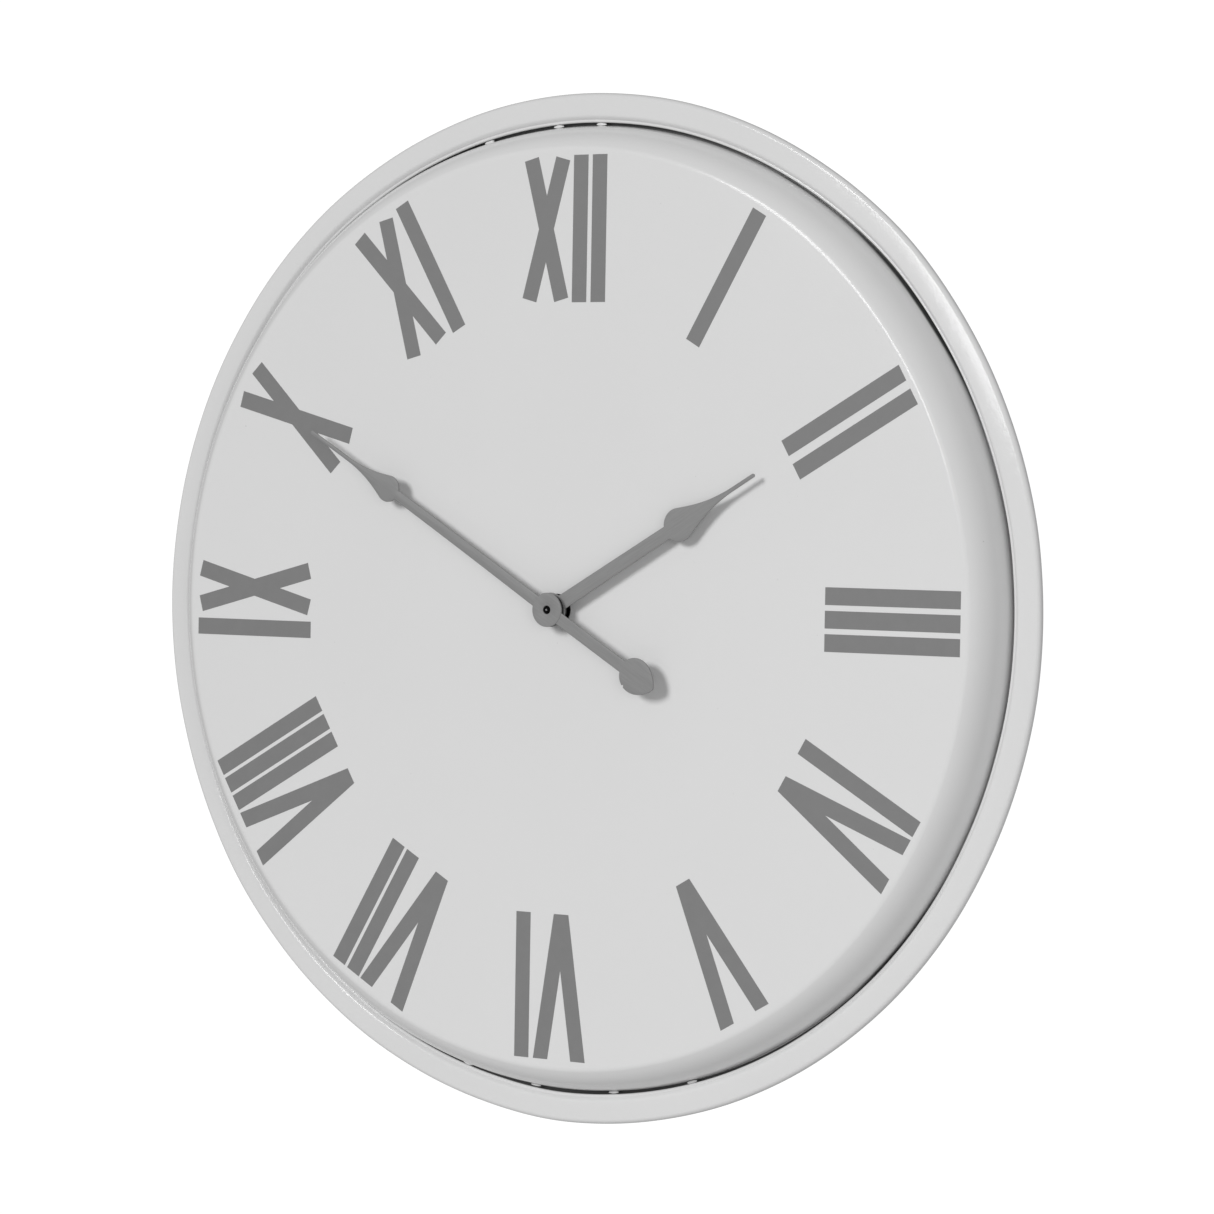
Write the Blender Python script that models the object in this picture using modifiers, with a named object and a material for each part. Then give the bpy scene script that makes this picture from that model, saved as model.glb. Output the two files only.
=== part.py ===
"""Round metal wall clock: dial pan, outer rim, hands and a battery quartz movement.

Metres, +Z up, front towards -Y. The wall is the plane Y = 0 and the origin is the
point of the hanger where the wall screw carries the clock.
"""
import math

import bmesh
import bpy

MM = 0.001

# Clearances
SEAT = 0.3 * MM
RUNNING = 0.3 * MM
TOOTH_GAP = 0.15 * MM
RIM_GAP = 1.8 * MM
BAY_GAP = 0.4 * MM

# Dial pan
PAN_RADIUS = 281 * MM
PAN_DEPTH = 28 * MM
PAN_SIDE = 14.7 * MM
PAN_CREASE = math.radians(28)
PAN_SHEET = 1.0 * MM
PAN_FLANGE = 7 * MM
PAN_FLAT_RADIUS = PAN_RADIUS - PAN_SIDE
HANGER_TO_ARBOR = 215 * MM
RING_STEPS = 72

# Outer rim
RIM_WIDTH = 17.2 * MM
RIM_BACK = 3.6 * MM
RIM_DEPTH = 3.8 * MM
RIM_DISH = 1.9 * MM
RIM_LIP = 0.8 * MM
RIM_CROWN_AT = 7.5 * MM
RIM_FALL = 0.2 * MM
RIM_ROLL = 3.0 * MM
RIM_INNER_RADIUS = PAN_RADIUS + RIM_GAP
RIM_RADIUS = RIM_INNER_RADIUS + RIM_WIDTH

# Weld tacks: angle in degrees clockwise from twelve
TACK_ANGLES = (2, 163, 174, 185, 195, 346, 356)
TACK_LENGTH = 9 * MM
TACK_DEPTH = 1.4 * MM
TACK_BACK = RIM_BACK + 0.4 * MM

# Hanger strap
HANGER_WIDTH = 60 * MM
HANGER_HEIGHT = 28 * MM
HANGER_ABOVE_SEAT = 8 * MM
HANGER_SHEET = 1.5 * MM
HANGER_FOOT = 12 * MM
HANGER_TO_WALL = 1.5 * MM
SCREW_SLOT_WIDTH = 4.8 * MM
SCREW_HEAD_HOLE = 10 * MM
KEYHOLE_DROP = 12 * MM

# Battery and movement case
BATTERY_RADIUS = 7.1 * MM
BATTERY_LENGTH = 49.2 * MM
BATTERY_NUB_RADIUS = 2.6 * MM
BATTERY_NUB = 1.2 * MM
BATTERY_EDGE = 0.6 * MM
BATTERY_DEPTH = 0.5 * MM
CONTACT_SHEET = 0.95 * MM
CONTACT_SIDE = 10 * MM
CASE_WALL = 1.4 * MM
CASE_PLATE = 1.5 * MM
CASE_EDGE = 1.2 * MM
PLATE_EDGE = 0.4 * MM
BAY_ROOF = 0.3 * MM
WHEEL_ROOM = 0.5 * MM
CASE_DEPTH = BATTERY_DEPTH + 2 * BATTERY_RADIUS + BAY_GAP + BAY_ROOF

# Nested arbors
SECONDS_ARBOR_RADIUS = 0.6 * MM
MINUTE_TUBE_WALL = 1.2 * MM
HOUR_TUBE_WALL = 0.9 * MM
BUSHING_WALL = 1.2 * MM
MINUTE_TUBE_BORE = SECONDS_ARBOR_RADIUS + RUNNING
MINUTE_TUBE_RADIUS = MINUTE_TUBE_BORE + MINUTE_TUBE_WALL
HOUR_TUBE_BORE = MINUTE_TUBE_RADIUS + RUNNING
HOUR_TUBE_RADIUS = HOUR_TUBE_BORE + HOUR_TUBE_WALL
BUSHING_BORE = HOUR_TUBE_RADIUS + RUNNING
BUSHING_RADIUS = BUSHING_BORE + BUSHING_WALL

# Fixing stack at the dial centre
RUBBER_WASHER = 1.0 * MM
RUBBER_WASHER_RADIUS = 11 * MM
BUSHING_FLANGE = 1.1 * MM
BUSHING_FLANGE_RADIUS = BUSHING_RADIUS + 1.6 * MM
BUSHING_CHAMFER = 0.4 * MM
FRONT_WASHER = 0.9 * MM
FRONT_WASHER_RADIUS = 9.2 * MM
NUT_HEIGHT = 2.2 * MM
NUT_ACROSS_FLATS = 13 * MM

# Hands
HAND_SHEET = 1.0 * MM
HUB_RADIUS = 9.9 * MM
COLLET_RADIUS = HUB_RADIUS - 0.8 * MM
HOUR_COLLET = 2.15 * MM
MINUTE_COLLET = 2.2 * MM
HOUR_ANGLE = 59.35
MINUTE_ANGLE = 300.8
HOUR_LENGTH = 156.3 * MM
HOUR_SPADE_AT = 99.2 * MM
HOUR_SPADE_RADIUS = 9.7 * MM
HOUR_STEM = (4.35 * MM, 3.9 * MM)
HOUR_NEEDLE = 1.1 * MM
MINUTE_LENGTH = 198.2 * MM
MINUTE_SPADE_AT = 133.3 * MM
MINUTE_SPADE_RADIUS = 7.9 * MM
MINUTE_STEM = (3.45 * MM, 2.95 * MM)
MINUTE_NEEDLE = 1.15 * MM
SPADE_LEAVES = math.acos(0.35)
TAIL_LENGTH = 84.4 * MM
TAIL_LOBE_AT = 70 * MM
TAIL_LOBE_RADIUS = 10.3 * MM
TAIL_STEM = 3.6 * MM
TAIL_BELLY = 8.5 * MM
TAIL_TIP_HALF = 1.5 * MM
TAIL_TIP_RISE = 0.4 * MM

# Wheel train: teeth and centre distances
CENTRE_TEETH = 60
THIRD_PINION_TEETH = 8
THIRD_TEETH = 64
SECONDS_PINION_TEETH = 8
SECONDS_TEETH = 48
FAST_PINION_TEETH = 8
FAST_TEETH = 40
ROTOR_PINION_TEETH = 8
CANNON_TEETH = 10
MOTION_TEETH = 30
MOTION_PINION_TEETH = 8
HOUR_TEETH = 32
KNOB_PINION_TEETH = 15
THIRD_DISTANCE = 11 * MM
FAST_DISTANCE = 10 * MM
ROTOR_DISTANCE = 7.4 * MM
MOTION_DISTANCE = 10 * MM
THIRD_BEARING = 300
FAST_BEARING = 45
ROTOR_BEARING = 75
MOTION_BEARING = 95
KNOB_BEARING = 70
TOOTH_DEPTH = 0.5 * MM
WHEEL_SHEET = 0.8 * MM
WHEEL_STEP = 2.1 * MM
PINION_EXTRA = 0.35 * MM
ARBOR_RADIUS = 0.6 * MM
ROTOR_MAGNET_RADIUS = 2.6 * MM
KNOB_RADIUS = 4.5 * MM
KNOB_LENGTH = 3.4 * MM
KNOB_SHAFT_RADIUS = 1.5 * MM

ROTOR_MAGNET_LENGTH = 3.0 * MM
KNOB_GRIP_TEETH = 24

# Stepping motor
STATOR_SHEET = 1.2 * MM
STATOR_LIFT = 0.6 * MM
STATOR_LEG = 4.2 * MM
STATOR_INSET = 3 * MM
STATOR_PAST_ROTOR = 4.6 * MM
WINDOW_INSET = 8 * MM
WINDOW_DROP = 8 * MM
WINDOW_TO_ROTOR = 5 * MM
COIL_DROP = 5.4 * MM
COIL_LEFT = -17 * MM
COIL_LENGTH = 24 * MM
COIL_CHEEK = 1.0 * MM
COIL_BORE = 2.4 * MM
COIL_TUBE = 0.5 * MM
COIL_OUTER = 3.9 * MM

# Circuit board, measured from the lower left corner of the wheel room
BOARD_SIZE = (6.5 * MM, 1.0 * MM, 24 * MM)
CRYSTAL_AT = (0.8 * MM, 12 * MM)
CRYSTAL_SIZE = (2.0 * MM, 2.0 * MM, 6 * MM)
CRYSTAL_EDGE = 0.5 * MM
CHIP_AT = (1.0 * MM, 3 * MM)
CHIP_SIZE = (4.5 * MM, 1.2 * MM, 4.5 * MM)
CHIP_EDGE = 0.4 * MM

# Movement case, worked out from the wheels and the battery that it holds
CENTRE_PITCH = THIRD_DISTANCE * CENTRE_TEETH / (CENTRE_TEETH + THIRD_PINION_TEETH)
ROOM_BELOW = CENTRE_PITCH + WHEEL_ROOM
BAY_HEIGHT = 2 * (BATTERY_RADIUS + BAY_GAP)
BAY_CENTRE_DROP = ROOM_BELOW + CASE_WALL + BAY_HEIGHT / 2
CASE_DROP = ROOM_BELOW + BAY_HEIGHT + 2 * CASE_WALL
MOTION_PITCH = MOTION_DISTANCE * MOTION_TEETH / (MOTION_TEETH + CANNON_TEETH)
KNOB_PITCH = MOTION_PITCH * KNOB_PINION_TEETH / MOTION_TEETH
MOTION_ACROSS = MOTION_DISTANCE * math.sin(math.radians(MOTION_BEARING))
KNOB_ACROSS = (MOTION_PITCH + KNOB_PITCH) * math.sin(math.radians(KNOB_BEARING))
TRAIN_HALF = MOTION_ACROSS + KNOB_ACROSS + KNOB_PITCH + SEAT
CELL_HALF = (BATTERY_LENGTH + BATTERY_NUB + 3 * SEAT) / 2 + CONTACT_SHEET
CASE_SIDE = 2 * (max(TRAIN_HALF, CELL_HALF) + CASE_WALL)

# Forward distances from the wall, worked out from the sizes above
DIAL_FRONT = PAN_DEPTH
DIAL_BACK = DIAL_FRONT - PAN_SHEET
CASE_FRONT = DIAL_BACK - RUBBER_WASHER - 2 * SEAT
PLATE_BACK = CASE_FRONT - CASE_PLATE
TUB_FRONT = PLATE_BACK - SEAT
CASE_BACK = TUB_FRONT - CASE_DEPTH
ROOM_BACK = CASE_BACK + CASE_WALL
WASHER_BACK = DIAL_FRONT + SEAT
NUT_BACK = WASHER_BACK + FRONT_WASHER + SEAT
BUSHING_FRONT = NUT_BACK + NUT_HEIGHT + SEAT / 2
HOUR_COLLET_BACK = BUSHING_FRONT + RUNNING
HOUR_FRONT = HOUR_COLLET_BACK + HOUR_COLLET + SEAT + HAND_SHEET
MINUTE_COLLET_BACK = HOUR_FRONT + RUNNING
MINUTE_FRONT = MINUTE_COLLET_BACK + MINUTE_COLLET + SEAT + HAND_SHEET
ARBOR_TIP = MINUTE_FRONT + SEAT
FLANGE_BACK = PLATE_BACK - SEAT - BUSHING_FLANGE
HOUR_LAYER = FLANGE_BACK - SEAT - WHEEL_SHEET
CANNON_LAYER = HOUR_LAYER - WHEEL_STEP
CENTRE_LAYER = CANNON_LAYER - WHEEL_STEP
THIRD_LAYER = CENTRE_LAYER - WHEEL_STEP
SECONDS_LAYER = THIRD_LAYER - WHEEL_STEP
FAST_LAYER = SECONDS_LAYER - WHEEL_STEP
STATOR_BACK = SECONDS_LAYER + STATOR_LIFT
STATOR_FRONT = STATOR_BACK + STATOR_SHEET

WHITE_PAINT = ((0.68, 0.68, 0.68), 0.38, 0.0)
GREY_PAINT = ((0.23, 0.23, 0.23), 0.45, 0.0)
BLACK_PLASTIC = ((0.02, 0.02, 0.02), 0.42, 0.0)
BLACK_RUBBER = ((0.025, 0.025, 0.025), 0.8, 0.0)
BLACK_STEEL = ((0.03, 0.03, 0.03), 0.35, 0.8)
BARE_STEEL = ((0.55, 0.55, 0.56), 0.3, 1.0)
BRASS = ((0.75, 0.58, 0.28), 0.28, 1.0)
COPPER = ((0.72, 0.36, 0.2), 0.35, 1.0)
WHITE_NYLON = ((0.8, 0.79, 0.76), 0.45, 0.0)
GREEN_BOARD = ((0.05, 0.25, 0.1), 0.5, 0.0)
BATTERY_SLEEVE = ((0.12, 0.13, 0.15), 0.35, 0.3)


def clear_scene():
    for obj in list(bpy.data.objects):
        bpy.data.objects.remove(obj, do_unlink=True)


def new_collection(name):
    collection = bpy.data.collections.new(name)
    bpy.context.scene.collection.children.link(collection)
    return collection


def finish(obj, look):
    """Gives an object its own Principled material and smooth round faces."""
    colour, roughness, metallic = look
    material = bpy.data.materials.new(obj.name + "_finish")
    material.use_nodes = True
    shader = material.node_tree.nodes["Principled BSDF"]
    shader.inputs["Base Color"].default_value = (*colour, 1)
    shader.inputs["Roughness"].default_value = roughness
    shader.inputs["Metallic"].default_value = metallic
    obj.data.materials.clear()
    obj.data.materials.append(material)
    if obj.type == "MESH":
        obj.data.shade_smooth()
        obj.data.set_sharp_from_angle(angle=math.radians(35))
    return obj


def facing_front(name, data, centre=(0, 0), collection=None):
    """Places data whose own Z is the forward distance from the wall, on an axis at (x, z)."""
    obj = bpy.data.objects.new(name, data)
    (collection or PARTS).objects.link(obj)
    obj.location = (centre[0], 0, centre[1])
    obj.rotation_euler = (math.pi / 2, 0, 0)
    return obj


def as_helper(obj):
    """Turns an object into one that only cuts or joins others."""
    for collection in list(obj.users_collection):
        collection.objects.unlink(obj)
    CUTTERS.objects.link(obj)
    obj.hide_render = True
    obj.display_type = "WIRE"
    return obj


def turned(name, profile, centre=(0, 0), steps=32):
    """Turns a closed (radius, forward) outline round the axis at centre."""
    doubled_area = sum(
        first[0] * second[1] - second[0] * first[1]
        for first, second in zip(profile, profile[1:] + profile[:1])
    )
    points = profile if doubled_area < 0 else profile[::-1]
    mesh = bpy.data.meshes.new(name)
    edges = [(index, (index + 1) % len(points)) for index in range(len(points))]
    mesh.from_pydata([(radius, 0, forward) for radius, forward in points], edges, [])
    obj = facing_front(name, mesh, centre)
    screw = obj.modifiers.new("turn", "SCREW")
    screw.axis = "Z"
    screw.steps = steps
    screw.render_steps = steps
    screw.use_merge_vertices = True
    screw.merge_threshold = 0.00001
    screw.use_smooth_shade = True
    return obj


def ring(name, inner, outer, back, front, centre=(0, 0), steps=32):
    """A plain washer or tube."""
    return turned(name, [(inner, back), (outer, back), (outer, front), (inner, front)], centre, steps)


def rod(name, radius, back, front, centre=(0, 0), steps=16):
    """A plain round bar on an axis that faces forward."""
    bm = bmesh.new()
    bmesh.ops.create_cone(
        bm, cap_ends=True, segments=steps, radius1=radius, radius2=radius, depth=front - back
    )
    bmesh.ops.translate(bm, verts=bm.verts, vec=(0, 0, (front + back) / 2))
    mesh = bpy.data.meshes.new(name)
    bm.to_mesh(mesh)
    bm.free()
    return facing_front(name, mesh, centre)


def block(name, low, high, rounding=0):
    """A box between two world corners, with its edges rounded."""
    bm = bmesh.new()
    bmesh.ops.create_cube(bm, size=1)
    size = [high[axis] - low[axis] for axis in range(3)]
    middle = [(high[axis] + low[axis]) / 2 for axis in range(3)]
    bmesh.ops.scale(bm, verts=bm.verts, vec=size)
    mesh = bpy.data.meshes.new(name)
    bm.to_mesh(mesh)
    bm.free()
    obj = bpy.data.objects.new(name, mesh)
    PARTS.objects.link(obj)
    obj.location = middle
    if rounding:
        bevel = obj.modifiers.new("rounded_edges", "BEVEL")
        bevel.width = rounding
        bevel.segments = 2
    return obj


def boolean(obj, operation, others):
    """Cuts or joins the others with obj, and keeps them as helpers."""
    for other in others:
        modifier = obj.modifiers.new(operation.lower(), "BOOLEAN")
        modifier.operation = operation
        modifier.solver = "EXACT"
        modifier.object = as_helper(other)
    return obj


def circle_points(radius, count, start=0):
    step = 2 * math.pi / count
    return [
        (radius * math.cos(start + step * index), radius * math.sin(start + step * index))
        for index in range(count)
    ]


def flat_plate(name, outline, holes, back, front, centre=(0, 0)):
    """A sheet cut to a closed outline of points, with closed holes, from back to front."""
    curve = bpy.data.curves.new(name, "CURVE")
    curve.dimensions = "2D"
    curve.fill_mode = "BOTH"
    curve.extrude = (front - back) / 2
    for points in [outline] + holes:
        spline = curve.splines.new("POLY")
        spline.points.add(len(points) - 1)
        for point, (across, along) in zip(spline.points, points):
            point.co = (across, along, 0, 1)
        spline.use_cyclic_u = True
    source = facing_front(name + "_outline", curve, centre)
    bpy.context.view_layer.update()
    graph = bpy.context.evaluated_depsgraph_get()
    mesh = bpy.data.meshes.new_from_object(source.evaluated_get(graph))
    bpy.data.objects.remove(source, do_unlink=True)
    bm = bmesh.new()
    bm.from_mesh(mesh)
    bmesh.ops.remove_doubles(bm, verts=bm.verts, dist=0.000001)
    bmesh.ops.translate(bm, verts=bm.verts, vec=(0, 0, (front + back) / 2))
    bmesh.ops.recalc_face_normals(bm, faces=bm.faces)
    bm.to_mesh(mesh)
    bm.free()
    mesh.name = name
    return facing_front(name, mesh, centre)


def arc(centre_along, radius, start, end, count):
    """Points (across, along) on a circle, angles in radians from straight along the hand."""
    step = (end - start) / (count - 1)
    return [
        (radius * math.sin(start + step * index), centre_along + radius * math.cos(start + step * index))
        for index in range(count)
    ]


def bezier(start, first, second, end, count):
    """Points of a cubic curve, without its start."""
    points = []
    for index in range(1, count + 1):
        share = index / count
        rest = 1 - share
        weights = (rest**3, 3 * rest**2 * share, 3 * rest * share**2, share**3)
        controls = (start, first, second, end)
        points.append(tuple(sum(w * c[axis] for w, c in zip(weights, controls)) for axis in (0, 1)))
    return points


def spade_side(length, spade_at, spade_radius, stem, needle):
    """Right side of a spade hand from its hub to its tip, as (across, along) points."""
    meet = math.pi - math.asin(stem[1] / spade_radius)
    shoulder = arc(spade_at, spade_radius, meet, SPADE_LEAVES, 8)
    start = shoulder[-1]
    neck = (needle * 1.05, spade_at + 4.0 * spade_radius)
    pull_out = (start[0] - 0.45 * spade_radius, start[1] + 1.15 * spade_radius)
    pull_in = (needle * 1.5, spade_at + 2.5 * spade_radius)
    flank = bezier(start, pull_out, pull_in, neck, 8)
    tip = arc(length - needle, needle, math.pi / 2, 0, 4)
    return shoulder + flank + tip


def mirrored(side):
    """A closed outline from its right side, which runs along the middle line's length."""
    return side + [(-across, along) for across, along in reversed(side) if abs(across) > 1e-7]


def turn_points(points, degrees):
    """Turns (across, along) points clockwise from twelve into (x, y) points."""
    angle = math.radians(degrees)
    return [
        (x * math.cos(angle) + y * math.sin(angle), y * math.cos(angle) - x * math.sin(angle))
        for x, y in points
    ]


def hub_arc(radius, stem_up, stem_down, count):
    """Right half of the hub disc between an upper and a lower stem."""
    lowest = math.pi if stem_down is None else math.pi - math.asin(stem_down / radius)
    return arc(0, radius, lowest, math.asin(stem_up / radius), count)


def hour_hand():
    side = hub_arc(HUB_RADIUS, HOUR_STEM[0], None, 12)
    side += spade_side(HOUR_LENGTH, HOUR_SPADE_AT, HOUR_SPADE_RADIUS, HOUR_STEM, HOUR_NEEDLE)
    outline = turn_points(mirrored(side), HOUR_ANGLE)
    hole = circle_points(HOUR_TUBE_RADIUS + SEAT, 24)
    plate = flat_plate("hour_hand", outline, [hole], HOUR_FRONT - HAND_SHEET, HOUR_FRONT, ARBOR)
    return finish(plate, GREY_PAINT)


def minute_hand():
    tail = [(0, -TAIL_LENGTH)]
    lobe_start = (TAIL_LOBE_RADIUS, -TAIL_LOBE_AT)
    first = (TAIL_TIP_HALF, TAIL_TIP_RISE - TAIL_LENGTH)
    second = (TAIL_LOBE_RADIUS, -TAIL_LOBE_AT - TAIL_BELLY)
    tail += bezier(tail[0], first, second, lobe_start, 7)
    meet = math.asin(TAIL_STEM / TAIL_LOBE_RADIUS)
    tail += arc(-TAIL_LOBE_AT, TAIL_LOBE_RADIUS, math.pi / 2, meet, 7)[1:]
    side = tail + hub_arc(HUB_RADIUS, MINUTE_STEM[0], TAIL_STEM, 10)
    side += spade_side(
        MINUTE_LENGTH, MINUTE_SPADE_AT, MINUTE_SPADE_RADIUS, MINUTE_STEM, MINUTE_NEEDLE
    )
    outline = turn_points(mirrored(side), MINUTE_ANGLE)
    hole = circle_points(MINUTE_TUBE_RADIUS + SEAT, 24)
    plate = flat_plate(
        "minute_hand", outline, [hole], MINUTE_FRONT - HAND_SHEET, MINUTE_FRONT, ARBOR
    )
    return finish(plate, GREY_PAINT)


def collets():
    """Black bushes that grip the hands on their tubes."""
    for name, bore, back, length in (
        ("hour_hand_collet", HOUR_TUBE_RADIUS + SEAT, HOUR_COLLET_BACK, HOUR_COLLET),
        ("minute_hand_collet", MINUTE_TUBE_RADIUS + SEAT, MINUTE_COLLET_BACK, MINUTE_COLLET),
    ):
        finish(ring(name, bore, COLLET_RADIUS, back, back + length, ARBOR), BLACK_PLASTIC)


def pan_side():
    """Outer and inner (radius, forward) points of the pan's side.

    The outer line is part of an ellipse that starts at the crease and ends square to the wall.
    """
    drop = PAN_DEPTH - PAN_SHEET
    start = math.radians(24)
    for _ in range(20):
        across = PAN_SIDE / (1 - math.sin(start))
        start = math.atan(math.tan(PAN_CREASE) * across * math.cos(start) / drop)
    deep = drop / math.cos(start)
    centre = PAN_RADIUS - across
    outer = []
    inner = []
    for index in range(9):
        turn = start + (math.pi / 2 - start) * index / 8
        radius = centre + across * math.sin(turn)
        forward = PAN_SHEET + deep * math.cos(turn)
        normal = (deep * math.sin(turn), across * math.cos(turn))
        scale = PAN_SHEET / math.hypot(*normal)
        outer.append((radius, forward))
        inner.append((radius - normal[0] * scale, forward - normal[1] * scale))
    inner[0] = (PAN_FLAT_RADIUS - PAN_SHEET * math.tan(PAN_CREASE / 2), DIAL_BACK)
    return outer, inner


def dial_pan():
    """Pressed dial: flat face, crease, curved side and a flange behind the rim."""
    outer, inner = pan_side()
    flange_radius = PAN_RADIUS + PAN_FLANGE
    flange = [(flange_radius, PAN_SHEET), (flange_radius, 0), (PAN_RADIUS - PAN_SHEET, 0)]
    hole = BUSHING_RADIUS + SEAT
    outline = [(hole, DIAL_FRONT)] + outer + flange + inner[::-1] + [(hole, DIAL_BACK)]
    return finish(turned("dial_pan", outline, ARBOR, RING_STEPS), WHITE_PAINT)


def rim_ring():
    """Outer ring: a crowned face with a small inner lip, a rolled outer edge and a flat back."""
    front = RIM_BACK + RIM_DEPTH
    inner_front = front - RIM_DISH
    roll_radius = RIM_RADIUS - RIM_ROLL
    roll_forward = front - RIM_FALL - RIM_ROLL
    profile = [
        (RIM_INNER_RADIUS, RIM_BACK),
        (RIM_INNER_RADIUS, inner_front - RIM_LIP),
        (RIM_INNER_RADIUS + RIM_LIP, inner_front),
        (RIM_INNER_RADIUS + RIM_CROWN_AT / 2, front - RIM_DISH / 4),
        (RIM_INNER_RADIUS + RIM_CROWN_AT, front),
    ]
    for degrees in (0, 30, 60, 90):
        turn = math.radians(degrees)
        across = roll_radius + RIM_ROLL * math.sin(turn)
        profile.append((across, roll_forward + RIM_ROLL * math.cos(turn)))
    profile.append((RIM_RADIUS, RIM_BACK))
    return finish(turned("rim_ring", profile, ARBOR, RING_STEPS), WHITE_PAINT)


def weld_tacks():
    """Short weld beads that bridge the gap between the pan and the rim."""
    facet = 1 - math.cos(math.pi / RING_STEPS)
    inner = PAN_RADIUS + SEAT / 2
    outer = RIM_INNER_RADIUS * (1 - facet) - SEAT / 2
    for number, degrees in enumerate(TACK_ANGLES, 1):
        half = TACK_LENGTH / 2 / outer
        middle = math.radians(degrees)
        angles = [middle + half * (step / 3 - 1) for step in range(7)]
        outline = [(inner * math.sin(a), inner * math.cos(a)) for a in angles]
        outline += [(outer * math.sin(a), outer * math.cos(a)) for a in reversed(angles)]
        name = f"weld_tack_{number}"
        finish(flat_plate(name, outline, [], TACK_BACK, TACK_BACK + TACK_DEPTH, ARBOR), WHITE_PAINT)


def hanger():
    """Hat-shaped strap behind the dial, with a keyhole for the wall screw."""
    half = HANGER_WIDTH / 2
    plate_back = HANGER_TO_WALL
    plate_front = plate_back + HANGER_SHEET
    foot_front = DIAL_BACK - SEAT
    foot_back = foot_front - HANGER_SHEET
    right_side = [
        (half, plate_back),
        (half, foot_back),
        (half + HANGER_FOOT, foot_back),
        (half + HANGER_FOOT, foot_front),
        (half - HANGER_SHEET, foot_front),
        (half - HANGER_SHEET, plate_front),
    ]
    outline = right_side + [(-across, forward) for across, forward in reversed(right_side)]
    bm = bmesh.new()
    bottom = HANGER_ABOVE_SEAT - HANGER_HEIGHT
    corners = [bm.verts.new((across, -forward, bottom)) for across, forward in outline]
    face = bm.faces.new(corners)
    lifted = bmesh.ops.extrude_face_region(bm, geom=[face])["geom"]
    raised = [item for item in lifted if isinstance(item, bmesh.types.BMVert)]
    bmesh.ops.translate(bm, verts=raised, vec=(0, 0, HANGER_HEIGHT))
    bmesh.ops.recalc_face_normals(bm, faces=bm.faces)
    mesh = bpy.data.meshes.new("hanger_strap")
    bm.to_mesh(mesh)
    bm.free()
    strap = bpy.data.objects.new("hanger_strap", mesh)
    PARTS.objects.link(strap)
    back = plate_back - SEAT
    front = plate_front + SEAT
    head = rod("keyhole_entry", SCREW_HEAD_HOLE / 2, back, front, (0, -KEYHOLE_DROP), 24)
    half_slot = SCREW_SLOT_WIDTH / 2
    slot_top = arc(0, half_slot, -math.pi / 2, math.pi / 2, 9)
    slot_outline = slot_top + [(half_slot, -KEYHOLE_DROP), (-half_slot, -KEYHOLE_DROP)]
    slot = flat_plate("keyhole_slot", slot_outline, [], back, front)
    boolean(head, "UNION", [slot])
    boolean(strap, "DIFFERENCE", [head])
    return finish(strap, BARE_STEEL)


def arbor_block(name, low, high, rounding=0):
    """A box given by (x, forward, z) corners measured from the arbor."""
    world_low = (low[0], -high[1], low[2] - HANGER_TO_ARBOR)
    world_high = (high[0], -low[1], high[2] - HANGER_TO_ARBOR)
    return block(name, world_low, world_high, rounding)


def movement_case():
    """Moulded tub: wheel room open to the front, battery bay open to the back."""
    half = CASE_SIDE / 2
    low = (-half, CASE_BACK, -CASE_DROP)
    tub = arbor_block("movement_case", low, (half, TUB_FRONT, half), CASE_EDGE)
    room_half = half - CASE_WALL
    room = arbor_block(
        "wheel_room", (-room_half, ROOM_BACK, -ROOM_BELOW), (room_half, TUB_FRONT + MM, room_half)
    )
    bay_bottom = -BAY_CENTRE_DROP - BAY_HEIGHT / 2
    bay_floor = CASE_BACK + BATTERY_DEPTH + 2 * BATTERY_RADIUS + BAY_GAP
    bay_low = (-room_half, CASE_BACK - MM, bay_bottom)
    bay_high = (room_half, bay_floor, bay_bottom + BAY_HEIGHT)
    bay = arbor_block("battery_bay", bay_low, bay_high)
    knob_hole = rod(
        "knob_hole", KNOB_SHAFT_RADIUS + RUNNING, CASE_BACK - MM, ROOM_BACK + MM, knob_centre(), 24
    )
    boolean(tub, "DIFFERENCE", [room, bay, knob_hole])
    return finish(tub, BLACK_PLASTIC)


def front_plate():
    """Flat lid of the movement, against the rubber washer."""
    half = CASE_SIDE / 2
    low = (-half, PLATE_BACK, -CASE_DROP)
    high = (half, CASE_FRONT, half)
    plate = arbor_block("movement_front_plate", low, high, PLATE_EDGE)
    hole = rod("bushing_hole", BUSHING_RADIUS + SEAT, PLATE_BACK - MM, CASE_FRONT + MM, ARBOR, 32)
    boolean(plate, "DIFFERENCE", [hole])
    return finish(plate, BLACK_PLASTIC)


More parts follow.
